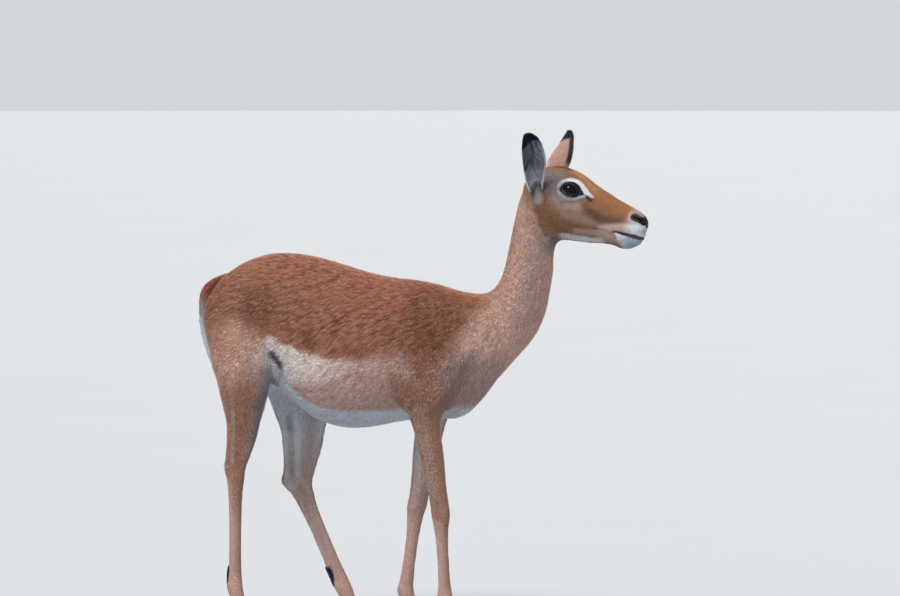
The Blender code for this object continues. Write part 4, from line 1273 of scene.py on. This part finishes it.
def scatter(surface, chosen, weights, count, rng):
    """Evenly spread roots: triangle numbers and their three corner shares."""
    total = np.cumsum(surface.areas[chosen] * weights)
    marks = (np.arange(count) + rng.random(count)) / count * total[-1]
    picks = chosen[np.minimum(np.searchsorted(total, marks), len(chosen) - 1)]
    u, v = rng.random(count), rng.random(count)
    flip = u + v > 1
    u[flip], v[flip] = 1 - u[flip], 1 - v[flip]
    return picks, np.stack([1 - u - v, u, v], axis=1)


def mix_corners(values, corners, shares):
    return np.einsum("nk,nkd->nd", shares, values[corners])


def clumping(roots, lie, width):
    """Noise that stands for locks of hair, drawn out along the lie."""
    squeezed = roots - unit(lie) * np.einsum("ij,ij->i", roots, unit(lie))[:, None] * 0.72
    finer = squeezed * (WIDEST_TUFT / np.maximum(width, 0.0008))[:, None]
    fine = value_noise(finer, 0.0075, 3) + value_noise(finer, 0.0105, 8)
    clumps = value_noise(squeezed, 0.022, 6)
    strength = (width / WIDEST_TUFT) ** 1.6 * (0.3 + 0.7 * smoothstep(0.42, 0.62, roots[:, 2]))
    return strength * (0.22 * fine + 0.15 * clumps) + 0.05 * value_noise(roots, 0.09, 4)


def hair_at(roots):
    """Lie of the hair, length, width and depth of its tufts, and its clumps. On the ears it
    runs to the tip, short behind and longer inside."""
    values = coat_values(roots)
    size = values[:, :3].copy()
    lie = np.column_stack((values[:, 3], np.zeros(len(roots)), values[:, 4]))
    for name, side in SIDES:
        place, turn, height, on_ear = ear_frame(roots, name, side)
        lie[on_ear] = np.array(ear_axes(name, side)[2])
        size[on_ear] = (0.0060, 0.0009, 0.0010)
        size[on_ear & (height > 0)] = (0.0085, 0.0008, 0.0012)
        size[on_ear & ((np.abs(turn) > 0.9) | (place > 0.93))] = (0.0045, 0.0008, 0.0008)
    clumps = clumping(roots, lie, values[:, 1])
    size[:, 2] *= 1.0 + np.clip(clumps, -0.5, 0.5)
    return lie, size, clumps


def laid_on_skin(tree, spots, rise):
    """Spots brought to a height above the nearest skin."""
    laid = np.empty_like(spots)
    for i, spot in enumerate(spots):
        place, normal, _, _ = tree.find_nearest(spot)
        laid[i] = np.array(place) + np.array(normal) * rise[i]
    return laid


def set_colours(mesh, colours):
    layer = mesh.color_attributes.new("coat", "FLOAT_COLOR", "POINT")
    values = np.ones((len(colours), 4), dtype=np.float32)
    values[:, :3] = colours
    layer.data.foreach_set("color", values.ravel())


def many_solids(name, points, pattern, colours, shade, uvs, patch, brightest=np.inf):
    """One mesh of many equal solids, from their points (n, k, 3) and the faces of one. Each
    has a colour with painted shade and light from point to point, and a small patch of the map."""
    count, size = points.shape[:2]
    faces = (np.arange(count)[:, None, None] * size + np.array(pattern)).reshape(-1, 3)
    mesh = bpy.data.meshes.new(name)
    mesh.vertices.add(count * size)
    mesh.vertices.foreach_set("co", points.astype(np.float32).ravel())
    mesh.loops.add(faces.size)
    mesh.loops.foreach_set("vertex_index", faces.astype(np.int32).ravel())
    mesh.polygons.add(len(faces))
    mesh.polygons.foreach_set("loop_start", np.arange(0, faces.size, 3, dtype=np.int32))
    mesh.update(calc_edges=True)
    tones = (colours[:, None, :] * np.array(shade)[:, None]).reshape(-1, 3)
    set_colours(mesh, np.minimum(tones, brightest))
    spots = (uvs[:, None, :] + np.array(patch) * PATCH).reshape(-1, 2)[faces.ravel()]
    layer = mesh.uv_layers.new(name="OFBake")
    layer.uv.foreach_set("vector", np.clip(spots, 0.0, 1.0).astype(np.float32).ravel())
    return mesh


def tuft_mesh(name, roots, normals, lie, size, colours, uvs, rng, tree=None):
    """One mesh of thin four-sided tufts, each a small solid lying on the skin."""
    count = len(roots)
    length, width, depth = size.T
    length = length * rng.uniform(0.7, 1.25, count)
    swirl = rng.normal(0.0, 0.13, count) + 0.16 * value_noise(roots, 0.035, 5)
    side = unit(np.cross(normals, lie))
    ahead = unit(np.cross(side, normals))
    turned = unit(ahead * np.cos(swirl)[:, None] + side * np.sin(swirl)[:, None])
    side = np.cross(normals, turned)
    rise = depth * rng.uniform(0.45, 0.95, count)
    half = 0.5 * width * rng.uniform(0.75, 1.3, count)
    base = roots - normals * (0.25 * depth)[:, None]
    crest = 0.38 * rise - 0.155 * depth + 0.42 * half
    ridge = roots + turned * (0.38 * length)[:, None] + normals * crest[:, None]
    tip = roots + turned * length[:, None] + normals * rise[:, None]
    if tree:
        ridge, tip = laid_on_skin(tree, ridge, crest), laid_on_skin(tree, tip, rise)
    points = np.stack([base - side * half[:, None], base + side * half[:, None], ridge, tip],
                      axis=1)
    # Painted shade darkens each tuft's base corners, painted light lightens its tip a little
    return many_solids(name, points, ((0, 3, 2), (1, 2, 3), (0, 2, 1), (0, 1, 3)), colours,
                       (0.66, 0.66, 1.0, 1.10), uvs,
                       ((-1.0, -0.6), (-1.0, 0.6), (0.0, 0.0), (1.0, 0.0)), BRIGHTEST)


def part_of_body(points):
    """Number of each place's region, in the order of TUFT_COUNTS."""
    x, y, z = points.T
    head, ears, neck, left, right, forelegs, hindlegs = range(len(TUFT_COUNTS))
    region = np.where(y > 0, left, right)
    region[(x < -0.05) & (z < 0.60)] = hindlegs
    region[(x < 0.08) & (z < 0.46)] = hindlegs
    region[(x > 0.12) & (z < 0.53)] = forelegs
    on_neck = (x - 0.30) * 0.80 + (z - 0.86) * 0.55 > 0.02
    region[on_neck] = neck
    on_head = (x - 0.54) * 0.90 + (z - 1.0) * 0.35 > 0.0
    region[on_neck & on_head & (z > 0.89)] = head
    for name, side in SIDES:
        region[ear_frame(points, name, side)[3]] = ears
    return region


def region_uvs(body, polygons):
    """An unwrap of one region of the skin: UVs of the skin's loops that lie in it."""
    form = form_of(body.data)
    origin = form.faces.layers.int.new("origin")
    for face in form.faces:
        face[origin] = face.index
    keep = set(polygons.tolist())
    others = [face for face in form.faces if face.index not in keep]
    bmesh.ops.delete(form, geom=others, context="FACES")
    item = add_object("unwrap", mesh_of(form))
    item.data.uv_layers.new(name="OFBake")
    bpy.ops.object.select_all(action="DESELECT")
    item.select_set(True)
    bpy.context.view_layer.objects.active = item
    bpy.ops.object.mode_set(mode="EDIT")
    bpy.ops.mesh.select_all(action="SELECT")
    bpy.ops.uv.smart_project(angle_limit=math.radians(70), island_margin=0.004)
    bpy.ops.object.mode_set(mode="OBJECT")
    mesh = item.data
    spots = read(mesh.uv_layers["OFBake"].uv, "vector", 2)
    origins = read(mesh.attributes["origin"].data, "value", 1, int)
    starts = read(mesh.polygons, "loop_start", 1, int)
    totals = read(mesh.polygons, "loop_total", 1, int)
    first_loops = read(body.data.polygons, "loop_start", 1, int)[origins]
    table = np.zeros((len(body.data.loops), 2))
    for step in range(int(totals.max())):
        has = totals > step
        table[first_loops[has] + step] = spots[starts[has] + step]
    bpy.data.objects.remove(item, do_unlink=True)
    return table


def coat_pieces(body, material):
    """Scatter the tufts over the skin, region by region."""
    surface = Surface(body.data)
    regions = part_of_body(surface.middles)
    bare = bareness(surface.middles)
    skin_tree = BVHTree.FromPolygons(surface.points.tolist(), surface.corners.tolist())
    rng = np.random.default_rng(SEED)
    pieces = []
    for number, (name, count) in enumerate(TUFT_COUNTS.items()):
        chosen = np.nonzero(regions == number)[0]
        length, width = coat_values(surface.middles[chosen])[:, :2].T
        table = region_uvs(body, np.unique(surface.polygons[chosen]))
        picks, shares = scatter(surface, chosen, (1 - bare[chosen]) / (length * width), count, rng)
        corners = surface.corners[picks]
        roots = mix_corners(surface.points, corners, shares)
        normals = unit(mix_corners(surface.normals, corners, shares))
        uvs = mix_corners(table, surface.loops[picks], shares)
        lie, size, clumps = hair_at(roots)
        plain = markings(roots, normals)
        red = smoothstep(0.55, 0.35, plain[:, 1] / plain[:, 0])
        # tone is random and follows the locks: partly colour, partly painted light and shade on
        # raised and sunk locks
        tone = np.clip(1.0 + 0.11 * rng.normal(size=count) + (0.8 + 1.2 * red) * clumps,
                       0.40, 1.9)
        colours = plain * np.minimum(tone, 1.25)[:, None]
        # the lightest tufts of the red coat turn mauve: a painted highlight
        paint(colours, FACE_MAUVE, 0.75 * red * (tone - 1.0))
        tree = skin_tree if name == "head" else None
        mesh = tuft_mesh("coat_" + name, roots, normals, lie, size, colours, uvs, rng, tree)
        pieces.append(finished("coat_" + name, mesh, material))
    return pieces


# ---------------------------------------------------------------- materials
def connect(tree, node, inputs):
    """Set a node's inputs by name: a socket is linked, any other value is set."""
    for name, value in inputs.items():
        if isinstance(value, bpy.types.NodeSocket):
            tree.links.new(value, node.inputs[name])
        else:
            node.inputs[name].default_value = value


def add_node(tree, kind, inputs, output):
    """A new node's output."""
    node = tree.nodes.new("ShaderNode" + kind)
    connect(tree, node, inputs)
    return node.outputs[output]


def new_material(name, roughness, specular):
    """A material, its node tree and its shader."""
    material = bpy.data.materials.new(name)
    material.use_nodes = True
    shader = material.node_tree.nodes["Principled BSDF"]
    connect(material.node_tree, shader, {"Roughness": roughness, "Specular IOR Level": specular})
    return material, material.node_tree, shader


def object_place(tree):
    return add_node(tree, "TexCoord", {}, "Object")


def add_noise(tree, scale, detail, stretch=(1.0, 1.0, 1.0)):
    """A noise over the object's own coordinates, stretched along its axes."""
    place = add_node(tree, "Mapping", {"Vector": object_place(tree), "Scale": stretch}, "Vector")
    return add_node(tree, "TexNoise", {"Vector": place, "Scale": scale, "Detail": detail}, "Fac")


def ranged(tree, noise, low, high):
    """The noise's middle range spread between two values."""
    return add_node(tree, "MapRange", {"Value": noise, "From Min": 0.3, "From Max": 0.7,
                                       "To Min": low, "To Max": high}, "Result")


def tinted(tree, noise, low, high):
    """The painted colour, darker and lighter with the noise."""
    times = tree.nodes.new("ShaderNodeVectorMath")
    times.operation = "SCALE"
    connect(tree, times, {0: read_attribute(tree, "coat", "Color"),
                          "Scale": ranged(tree, noise, low, high)})
    return times.outputs["Vector"]


def read_attribute(tree, name, output):
    reader = tree.nodes.new("ShaderNodeAttribute")
    reader.attribute_name = name
    return reader.outputs[output]


def ramp(tree, source, dark, light, positions=(0.0, 1.0)):
    """Colours from dark to light along the source."""
    node = tree.nodes.new("ShaderNodeValToRGB")
    connect(tree, node, {"Fac": source})
    for stop, position, colour in zip(node.color_ramp.elements, positions, (dark, light)):
        stop.position = position
        stop.color = (*colour, 1.0)
    return node.outputs["Color"]


def bump(tree, height, strength, distance):
    return add_node(tree, "Bump", {"Height": height, "Strength": strength,
                                   "Distance": distance}, "Normal")


def coat_material():
    material, tree, shader = new_material("coat_hair", 0.58, 0.22)
    tint = tinted(tree, add_noise(tree, 260.0, 3.0), 0.86, 1.12)
    connect(tree, shader, {"Base Color": tint, "Sheen Weight": 0.06, "Sheen Roughness": 0.40})
    return material


def skin_material():
    """Skin with its own short hair drawn as bump, wet and pebbled on the nose."""
    material, tree, shader = new_material("skin", 0.7, 0.18)
    hair = add_noise(tree, 300.0, 4.0, (0.35, 1.0, 0.6))
    bare = read_attribute(tree, "bare", "Fac")
    pebbles = add_node(tree, "TexVoronoi", {"Vector": object_place(tree), "Scale": 620.0},
                       "Distance")
    height = add_node(tree, "Mix", {"Factor": bare, "A": hair, "B": pebbles}, "Result")
    wet = add_node(tree, "MapRange", {"Value": bare, "To Min": 0.72, "To Max": 0.40}, "Result")
    connect(tree, shader, {"Base Color": tinted(tree, hair, 0.72, 1.05), "Roughness": wet,
                           "Normal": bump(tree, height, 0.35, 0.0008)})
    return material


def hoof_material():
    """Black horn with fine lines round it."""
    material, tree, shader = new_material("hoof_horn", 0.42, 0.5)
    lines = add_noise(tree, 90.0, 5.0, (0.4, 0.4, 9.0))
    horn = ramp(tree, lines, (0.010, 0.009, 0.008), (0.060, 0.048, 0.040), (0.35, 0.75))
    connect(tree, shader, {"Base Color": horn, "Roughness": ranged(tree, lines, 0.34, 0.60),
                           "Normal": bump(tree, lines, 0.5, 0.0010)})
    return material


def eye_material():
    """Dark brown iris with fine rays; the pupil and the rim are painted on the mesh."""
    material, tree, shader = new_material("eye", 0.08, 0.06)
    rays = tinted(tree, add_noise(tree, 900.0, 3.0, (1.0, 0.4, 1.0)), 0.7, 1.3)
    connect(tree, shader, {"Base Color": rays, "Coat Weight": 0.16, "Coat Roughness": 0.02})
    return material


def lid_material():
    material, tree, shader = new_material("lid_skin", 0.35, 0.5)
    noise = add_noise(tree, 700.0, 3.0)
    black = ramp(tree, noise, (0.006, 0.006, 0.007), (0.022, 0.020, 0.021))
    connect(tree, shader, {"Base Color": black, "Normal": bump(tree, noise, 0.4, 0.0004)})
    return material


# ---------------------------------------------------------------- eyes, lids, lashes
def eyeball(name, side, material):
    """A ball with a clear front that swells a little, and a level pupil."""
    form = bmesh.new()
    bmesh.ops.create_uvsphere(form, u_segments=64, v_segments=48, radius=EYE_RADIUS)
    mesh = mesh_of(form)
    centre, look, front, up = eye_axes(side)
    points = surface_of(mesh)[0]
    off_axis = np.hypot(points[:, 0], points[:, 1])
    swell = 0.0009 * np.exp(-(off_axis / 0.0105) ** 2) * (points[:, 2] > 0)
    reach = lengths(points)
    local = points * ((reach - 0.0006 + swell) / reach)[:, None]
    set_points(mesh, local @ np.array((front, up, look)) + np.array(centre))
    pupil = np.sqrt((points[:, 0] / PUPIL_RING[0]) ** 2 + (points[:, 1] / PUPIL_RING[1]) ** 2)
    colours = np.tile(np.array(EYE_BROWN), (len(points), 1))
    paint(colours, BLACK, smoothstep(0.80, 1.0, off_axis / IRIS_RADIUS))
    paint(colours, PUPIL, smoothstep(1.12, 0.95, pupil))
    set_colours(mesh, colours)
    return finished("eyeball_" + name, mesh, material, smooth=True)


def lid_rim(name, side, material):
    """The dark, moist edge of both lids, a soft tube round the opening."""
    centre = eye_axes(side)[0]
    line = [on_ball(side, along, high, EYE_RADIUS + 0.0008) for along, high in opening()]
    rings = []
    for here, ahead in zip(line, line[1:] + line[:1]):
        away = (here - centre).normalized()
        across = (ahead - here).normalized().cross(away).normalized()
        rings.append([here + away * (0.0013 * math.cos(a)) + across * (0.0017 * math.sin(a))
                      for a in circle(10)])
    form = bmesh.new()
    bridge(form, rings, looped=True)
    bmesh.ops.recalc_face_normals(form, faces=form.faces)
    return finished("lid_rim_" + name, mesh_of(form), material, smooth=True)


def spike(form, root, way, up, length, radius):
    """A thin curved three-sided hair."""
    side = way.cross(up).normalized()
    rings = []
    for share, thick in ((0.0, 1.0), (0.4, 0.75), (0.75, 0.45)):
        centre = root + way * (length * share) + up * (length * 0.35 * share ** 2)
        rings.append([centre + side * (radius * thick * math.cos(a))
                      + up * (radius * thick * math.sin(a)) for a in HAIR_CORNERS])
    rows = bridge(form, rings)
    tip = form.verts.new(root + way * length + up * (length * 0.35))
    for k in range(3):
        form.faces.new((rows[-1][k], rows[-1][(k + 1) % 3], tip))
    form.faces.new(rows[0])


def lashes(name, side, material, rng):
    """A row of short lashes on the upper lid."""
    _, look, front, up = eye_axes(side)
    form = bmesh.new()
    for i in range(LASHES):
        angle = math.radians(22 + 136 * i / (LASHES - 1) + rng.uniform(-1.5, 1.5))
        root = on_ball(side, 0.0165 * math.cos(angle), 0.0150 * math.sin(angle),
                       EYE_RADIUS + 0.0012)
        way = (look * 0.9 + up * 0.35 + front * (0.5 * math.cos(angle))).normalized()
        rise = (up - way * up.dot(way)).normalized()
        spike(form, root, way, rise, rng.uniform(0.0050, 0.0075), LASH_WIDTH)
    bmesh.ops.recalc_face_normals(form, faces=form.faces)
    return finished("lashes_" + name, mesh_of(form), material)


# ---------------------------------------------------------------- hooves
def claw(name, toe, leg, inner, material):
    """One claw of a split hoof: flat sole, sloping front, flatter inner side."""
    rings = []
    for height, setback, length, breadth in smooth_rows(CLAW_LEVELS, 3):
        growth = 0.0003 * math.sin(height * 42.0) * (0.05 < height < 0.9)
        ring = []
        for angle in circle(36):
            along = 0.5 + 0.5 * math.cos(angle)
            taper = 1.0 - 0.42 * max(0.0, along - 0.45) / 0.55
            across = math.sin(angle) * taper * breadth * CLAW_WIDTH / 2
            across *= 0.8 if across * inner > 0 else 1.0
            across += growth * math.sin(angle)
            ahead = -CLAW_LENGTH * (setback + (1 - along) * length)
            ring.append((*swung(*toe, ahead, across, leg.turn, leg.side),
                         max(height, 0.0) * CLAW_HEIGHT))
        rings.append(ring)
    piece = finished(name, loft_mesh(rings), material, smooth=True)
    piece.data.set_sharp_from_angle(angle=math.radians(40))
    return piece


def claws(material):
    """Every claw, with the name of the CAD hoof that it stands for."""
    for leg in LEGS:
        for place, inner in (("inner", 1), ("outer", -1)):
            toe = swung(*leg.joints[-1][:2], TOE_REACH, -inner * CLAW_SPACING, leg.turn)
            piece = claw("claw_%s_%s" % (leg.name, place), toe, leg, inner, material)
            yield piece, "hoof_%s_%s" % (leg.name, place)


# ---------------------------------------------------------------- long hair
def locks(name, paths, width, colours, uvs, material):
    """Long tapering three-sided locks along paths (n, k, 3), with their half width."""
    paths, uvs = np.array(paths), np.array(uvs)
    knots = paths.shape[1]
    run = unit(paths[:, -1] - paths[:, 0])
    helper = np.where(np.abs(run[:, 2:3]) > 0.8, ((1.0, 0.2, 0.0),), ((0.0, 0.0, 1.0),))
    side = unit(np.cross(run, helper))
    up = np.cross(side, run)
    rings = []
    for k, taper in zip(range(knots - 1), (0.75, 1.0, 0.85, 0.6)):
        for angle in HAIR_CORNERS:
            rings.append(paths[:, k] + side * (width * taper * math.cos(angle))
                         + up * (0.5 * (width * taper) * math.sin(angle)))
    points = np.stack(rings + [paths[:, -1]], axis=1)
    size = points.shape[1]
    pattern = [(2, 1, 0)]
    for low in range(0, size - 4, 3):
        for a, b in ((0, 1), (1, 2), (2, 0)):
            high = low + 3
            pattern += [(low + a, low + b, high + b), (low + a, high + b, high + a)]
    pattern += [(size - 4 + a, size - 4 + b, size - 1) for a, b in ((0, 1), (1, 2), (2, 0))]
    # Painted shade darkens each lock towards its root, painted light lightens its tip a little
    shade = np.append(np.repeat(np.linspace(0.7, 1.05, knots - 1), 3), 1.1)
    patch = np.column_stack((np.linspace(-1, 1, size), np.tile((-0.5, 0.5), size)[:size]))
    mesh = many_solids(name, points, pattern, colours, shade, uvs, patch)
    return finished(name, mesh, material)


def tail_hair(material, rng):
    """Locks round the tail, red above, white below, with a black line down its back."""
    rows = smooth_rows(TAIL, 8)
    share = np.sort(rng.random(TAIL_LOCKS)) ** 0.9
    angle = rng.uniform(0, 2 * math.pi, TAIL_LOCKS)
    reach = rng.uniform(0.16, 0.26, TAIL_LOCKS)
    lift = rng.uniform(0.65, 0.97, TAIL_LOCKS)
    paths = []
    for step in np.linspace(0.0, 1.0, 5):
        at = np.clip(share * 0.86 + reach * step * (1 - 0.35 * share), 0, 1) * (len(rows) - 1)
        x, z, depth, width = (np.interp(at, np.arange(len(rows)), rows[:, c]) for c in range(4))
        out = 0.60 + (lift - 0.60) * math.sin(min(step * 1.4, 1.0) * math.pi / 2)
        paths.append(np.column_stack((x + depth * out * np.cos(angle),
                                      width * out * np.sin(angle), z)))
    colours = np.tile(np.array(WHITE), (TAIL_LOCKS, 1))
    colours[(np.cos(angle) < -0.86) & (share < 0.75)] = BLACK
    # red on top, half again lighter: painted light against the shade where tail and rump meet
    paint(colours, 1.5 * np.array(RED), smoothstep(0.46, 0.18, share))
    colours *= rng.uniform(0.75, 1.1, TAIL_LOCKS)[:, None]
    uvs = np.column_stack((angle / (2 * math.pi), share)) * 0.98 + 0.01
    return locks("coat_tail", np.stack(paths, axis=1), TAIL_LOCK_WIDTH, colours, uvs, material)


def heel_brushes(material, rng):
    """The black brush on the back of each hind cannon."""
    paths, uvs = [], []
    for leg in LEGS:
        for _ in range(HEEL_LOCKS if leg.hind else 0):
            along = rng.uniform(-1.0, 1.0)
            place = 0.865 + 0.070 * along
            out = rng.uniform(-0.013, 0.013) * math.sqrt(1.0 - 0.85 * along ** 2)
            back = -0.0170 + 0.45 * abs(out)
            length = rng.uniform(0.04, 0.10)
            paths.append([leg.spot(3, place + length * step,
                                   back - 0.0085 * math.sin(step * 2.4), out * (1 - 0.3 * step))
                          for step in np.linspace(0.0, 1.0, 4)])
            uvs.append(((out + 0.011) / 0.022 * 0.45 + (0.5 if leg.side > 0 else 0.02),
                        (place - 0.78) / 0.19 * 0.96 + 0.02))
    colours = np.tile(np.array(BLACK) * 1.3, (len(paths), 1))
    return locks("coat_heel_brushes", paths, HEEL_LOCK_WIDTH, colours, uvs, material)


def ear_hair(material, rng):
    """Long pale hair inside the ears, lying across the hollow from both edges."""
    paths, roots, uvs = [], [], []
    for name, side in SIDES:
        for _ in range(EAR_LOCKS):
            place = rng.uniform(0.16, 0.78)
            turn = rng.choice((-1, 1)) * rng.uniform(0.30, 0.92)
            inward = -np.sign(turn) * rng.uniform(0.15, 0.45)
            run = rng.uniform(0.05, 0.12)
            lift = rng.uniform(0.0012, 0.0032)
            paths.append([tuple(ear_point(name, side, place + run * step, turn + inward * step,
                                          EAR_THICKNESS / 2 + lift * math.sin(step * 2.6)))
                          for step in np.linspace(0.0, 1.0, 4)])
            roots.append(tuple(ear_point(name, side, place, turn, 0.002)))
            uvs.append((turn * 0.24 + (0.25 if side < 0 else 0.75), place))
    # The hairs start in the hollow's painted shade and take the ear's colours; about half of those
    # not dark turn paler
    colours = np.tile(np.array(EAR_HOLLOW_SHADE), (len(roots), 1))
    ear_markings(colours, np.array(roots))
    pale = (rng.random(len(roots)) < 0.50)[:, None]
    colours = np.where(pale & (colours[:, :1] > 0.12), colours * 0.5 + np.array(WHITE) * 0.38,
                       colours)
    colours *= rng.uniform(0.7, 1.1, len(roots))[:, None]
    return locks("coat_ear_hair", paths, EAR_LOCK_WIDTH, colours, uvs, material)


# ---------------------------------------------------------------- studio
CAMERA_YAW = math.radians(23.0)
CAMERA_DISTANCE = 13.0
CAMERA_HEIGHT = 1.5
CAMERA_PITCH = math.radians(3.144)
CAMERA_ASIDE = 0.2871          # to the right of the animal's origin, across the view
CAMERA_LENS = 218.4


def add_camera(shift):
    """The photo's camera, before and above the animal, turned by its yaw."""
    data = bpy.data.cameras.new("camera")
    data.lens = CAMERA_LENS
    data.sensor_width = 36.0
    data.clip_end = 200.0
    camera = add_object("camera", data)
    across = Vector((math.cos(CAMERA_YAW), math.sin(CAMERA_YAW), 0.0))
    ahead = Vector((-math.sin(CAMERA_YAW), math.cos(CAMERA_YAW), 0.0))
    camera.location = (ahead * -CAMERA_DISTANCE + across * CAMERA_ASIDE
                       + Vector((0, 0, CAMERA_HEIGHT)) + shift)
    camera.rotation_euler = (math.pi / 2 - CAMERA_PITCH, 0.0, CAMERA_YAW)
    bpy.context.scene.camera = camera


def add_floor():
    bpy.ops.mesh.primitive_circle_add(vertices=128, radius=60.0, fill_type="NGON")
    floor = bpy.context.object
    floor.name = "floor"
    material, tree, shader = new_material("studio_floor", 0.8, 0.2)
    grey = ramp(tree, add_noise(tree, 1.2, 3.0), (0.360, 0.374, 0.388), (0.375, 0.389, 0.404))
    connect(tree, shader, {"Base Color": grey})
    floor.data.materials.append(material)


def add_sun(name, toward, angle, strength, colour):
    """A wide soft sun; `toward` points from the animal to it."""
    data = bpy.data.lights.new(name, "SUN")
    data.angle = math.radians(angle)
    data.energy = strength
    data.color = colour
    add_object(name, data).rotation_euler = Vector(toward).to_track_quat("Z", "Y").to_euler()


def add_lights():
    world = bpy.data.worlds.new("studio")
    world.use_nodes = True
    sky = world.node_tree.nodes["Background"]
    sky.inputs["Color"].default_value = (0.94, 0.97, 1.00, 1.0)
    sky.inputs["Strength"].default_value = 0.70
    bpy.context.scene.world = world
    add_sun("key", (-0.35, -0.80, 1.10), 25.0, 3.30, (1.0, 0.96, 0.90))
    add_sun("rim", (-0.30, 1.10, 0.75), 40.0, 1.90, (0.97, 0.97, 1.0))


# ---------------------------------------------------------------- everything together
def frame_shift():
    """From the animal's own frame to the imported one, by the eyes' places."""
    low, high = (np.array(corner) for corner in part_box("eye_right"))
    low_left, high_left = (np.array(corner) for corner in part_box("eye_left"))
    middle = (low + high + low_left + high_left) / 4
    return Vector((middle[0] - EYE_PLACE[0], middle[1], middle[2] - EYE_PLACE[2]))


FLESH = ["head", "neck", "trunk", "tail", "ear_left", "ear_right"] + [
    "%s_%s_%s" % (leg, side, part) for leg in ("foreleg", "hindleg")
    for side in ("left", "right") for part in ("upper", "lower")]


def set_in_frame(piece, shift):
    piece.data.transform(Matrix.Translation(shift))
    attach(piece, "root")


def main():
    """Skin and coat first, then eyes, lids, lashes and hooves, and the studio last."""
    rng = np.random.default_rng(SEED)
    shift = frame_shift()
    hair = coat_material()
    body = build_skin()
    points, normals = surface_of(body.data)
    set_colours(body.data, markings(points, normals) * SKIN_SHADE)
    bare = body.data.attributes.new("bare", "FLOAT", "POINT")
    bare.data.foreach_set("value", bareness(points).astype(np.float32))
    pieces = coat_pieces(body, hair)
    body.data.materials.clear()
    body.data.materials.append(skin_material())
    body.data.shade_smooth()
    pieces += [tail_hair(hair, rng), heel_brushes(hair, rng), ear_hair(hair, rng)]
    set_in_frame(body, shift)
    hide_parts(*FLESH)
    for piece in pieces:
        set_in_frame(piece, shift)
    eye_look, lid_look = eye_material(), lid_material()
    for name, side in SIDES:
        ball = eyeball(name, side, eye_look)
        set_in_frame(ball, shift)
        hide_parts("eye_" + name)
        set_in_frame(lid_rim(name, side, lid_look), shift)
        set_in_frame(lashes(name, side, lid_look, rng), shift)
    for piece, node in claws(hoof_material()):
        set_in_frame(piece, shift)
        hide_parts(node)
    add_floor()
    add_lights()
    add_camera(shift)
    bpy.context.scene.view_settings.view_transform = "Standard"


main()
bpy.context.view_layer.update()
